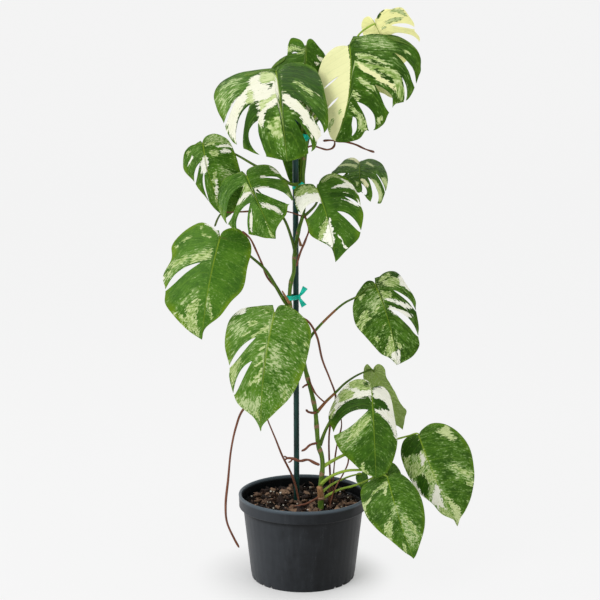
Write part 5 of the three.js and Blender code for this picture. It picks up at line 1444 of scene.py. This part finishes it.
def potting_mix():
    """Bark chips, perlite beads and crumbs on a mound of peat."""
    chance = random.Random(7)
    bm = bmesh.new()
    shade = bm.verts.layers.float_vector.new("shade")
    inner = POT["base_radius"] - POT["wall"] + (POT["shoulder_radius"] - POT["base_radius"]) * 0.98
    edge = inner - MIX["gap"]

    bmesh.ops.create_circle(bm, cap_ends=True, cap_tris=True, segments=MIX["heap_sides"],
                            radius=edge)
    skirt = bmesh.ops.extrude_edge_only(bm, edges=[e for e in bm.edges if e.is_boundary])
    for v in drawn_verts(skirt):
        v.co.z -= MIX["skirt"]
    top_edges = [e for e in bm.edges
                 if not e.is_boundary and e.verts[0].co.z > -1 < e.verts[1].co.z]
    bmesh.ops.subdivide_edges(bm, edges=top_edges, cuts=MIX["heap_cuts"], use_grid_fill=False)
    for v in bm.verts:
        v[shade] = (0.35, 0, 0)
        if v.co.z > -1:
            swelling = MIX["heap_swell"] * noise.noise(v.co * 0.12)
            v.co.z = surface_height(v.co.x, v.co.y) - MIX["heap_drop"] + swelling
        else:
            v.co.z = MIX["top"] - MIX["skirt"]
    for face in bm.faces:
        face.material_index = 2
    bmesh.ops.recalc_face_normals(bm, faces=bm.faces)

    def strew(count, sizes, flatness, finish, rise, crease):
        """Scatters lumps: how many, how big, how flat, their finish, how high and how creased."""
        for _ in range(count):
            reach = (edge - MIX["shore"]) * math.sqrt(chance.random())
            turn = chance.uniform(0, 2 * math.pi)
            x, y = reach * math.cos(turn), reach * math.sin(turn)
            size = sizes[0] + (sizes[1] - sizes[0]) * chance.random() ** 2.4
            finer = 2 if size > 4 else 1
            grown = bmesh.ops.create_icosphere(bm, subdivisions=finer, radius=1)["verts"]
            stretch = Vector((chance.uniform(0.8, 1.6), chance.uniform(0.6, 1.0),
                              chance.uniform(*flatness)))
            spin, tip, roll = [chance.uniform(0, math.pi) for _ in range(3)]
            lean = Euler(((roll - math.pi / 2) * 0.5, (tip - math.pi / 2) * 0.5, spin)).to_matrix()
            value = chance.random()
            offset = Vector((chance.random(), chance.random(), chance.random())) * 50
            seat = Vector((x, y, surface_height(x, y) + rise * size))
            for v in grown:
                lump = 1 + crease * noise.noise(v.co * 1.4 + offset)
                v.co = seat + lean @ (v.co * stretch * size * lump)
                v[shade] = (value, 0, 0)
            for face in {f for v in grown for f in v.link_faces}:
                face.material_index = finish
            for side in {e for v in grown for e in v.link_edges}:
                side.smooth = crease < 0.8 or side.calc_face_angle() < 0.45

    for kind in LUMPS:
        strew(**kind)
    return finished(bm, "potting_mix", [BARK, PERLITE, CRUMB])


# Assembly

for number, leaf in enumerate(LEAVES):
    blade(leaf, number)
    stalk(leaf, number)
for number, kind in enumerate(ROOTS):
    root(kind, number)
for number, tie in enumerate(TIES):
    tape_tie(tie, number)
climbing_stem()
garden_cane()
nursery_pot()
potting_mix()

# Floor, backdrop, light and camera


def sweep():
    """A pale floor that curves up into a backdrop."""
    bm = bmesh.new()
    corners = [bm.verts.new((-SWEEP_HALF_WIDTH, y, z)) for y, z in SWEEP_PROFILE]
    for a, b in zip(corners, corners[1:]):
        bm.edges.new((a, b))
    drawn = bmesh.ops.extrude_edge_only(bm, edges=bm.edges)
    bmesh.ops.translate(bm, vec=(2 * SWEEP_HALF_WIDTH, 0, 0), verts=drawn_verts(drawn))
    bmesh.ops.recalc_face_normals(bm, faces=bm.faces)
    paper = Finish("studio_paper", 0.9, specular=0.0)
    x, y, _ = paper.parts(paper.place())
    far = x * x + y * y + x.most(0) * PAPER["right_lean"]
    matt = PAPER["near"] - far.between(PAPER["fade_from"], PAPER["fade_to"]) * PAPER["fade"]
    glow = BACKDROP_LEVEL - matt * FLOOR_LIGHT
    paper.wear(paper.grey(matt))
    paper.feed(paper.shader.inputs["Emission Color"], paper.grey(glow))
    paper.shader.inputs["Emission Strength"].default_value = 1.0
    floor = placed(bm, "studio_sweep", [paper.material])
    return floor


def soft_box(name, place, target, size, power):
    """A flat light at a place in metres that faces a target."""
    light = bpy.data.lights.new(name, "AREA")
    light.shape = "RECTANGLE"
    light.size, light.size_y = size
    light.energy = power
    lamp = bpy.data.objects.new(name, light)
    lamp.location = place
    lamp.rotation_mode = "QUATERNION"
    lamp.rotation_quaternion = (Vector(target) - Vector(place)).to_track_quat("-Z", "Y")
    bpy.context.scene.collection.objects.link(lamp)


sweep()
soft_box("key_light", (-1.8, -1.9, 2.5), (0, 0, 0.55), (2.2, 2.2), 54)
soft_box("fill_light", (2.0, -1.9, 1.6), (0, 0, 0.5), (2.2, 2.2), 12)
soft_box("edge_light", (-2.4, 0.9, 0.7), (0, 0, 0.3), (0.5, 1.6), 9)
soft_box("top_light", (0, 0.1, 3.1), (0, 0, 0.4), (2.6, 2.6), 24)

world = bpy.data.worlds.new("studio_air")
world.use_nodes = True
air = world.node_tree.nodes["Background"].inputs
air["Color"].default_value = (1, 1, 1, 1)
air["Strength"].default_value = AIR_LIGHT
bpy.context.scene.world = world
bpy.context.scene.view_settings.view_transform = "Standard"

lens = bpy.data.cameras.new("camera")
lens.lens = CAMERA_LENS
lens.sensor_width = 36
camera = bpy.data.objects.new("camera", lens)
camera.location = Vector(CAMERA_PLACE) * MM
camera.rotation_euler = (math.radians(90 - CAMERA_PITCH_DOWN), 0, 0)
bpy.context.scene.collection.objects.link(camera)
bpy.context.scene.camera = camera
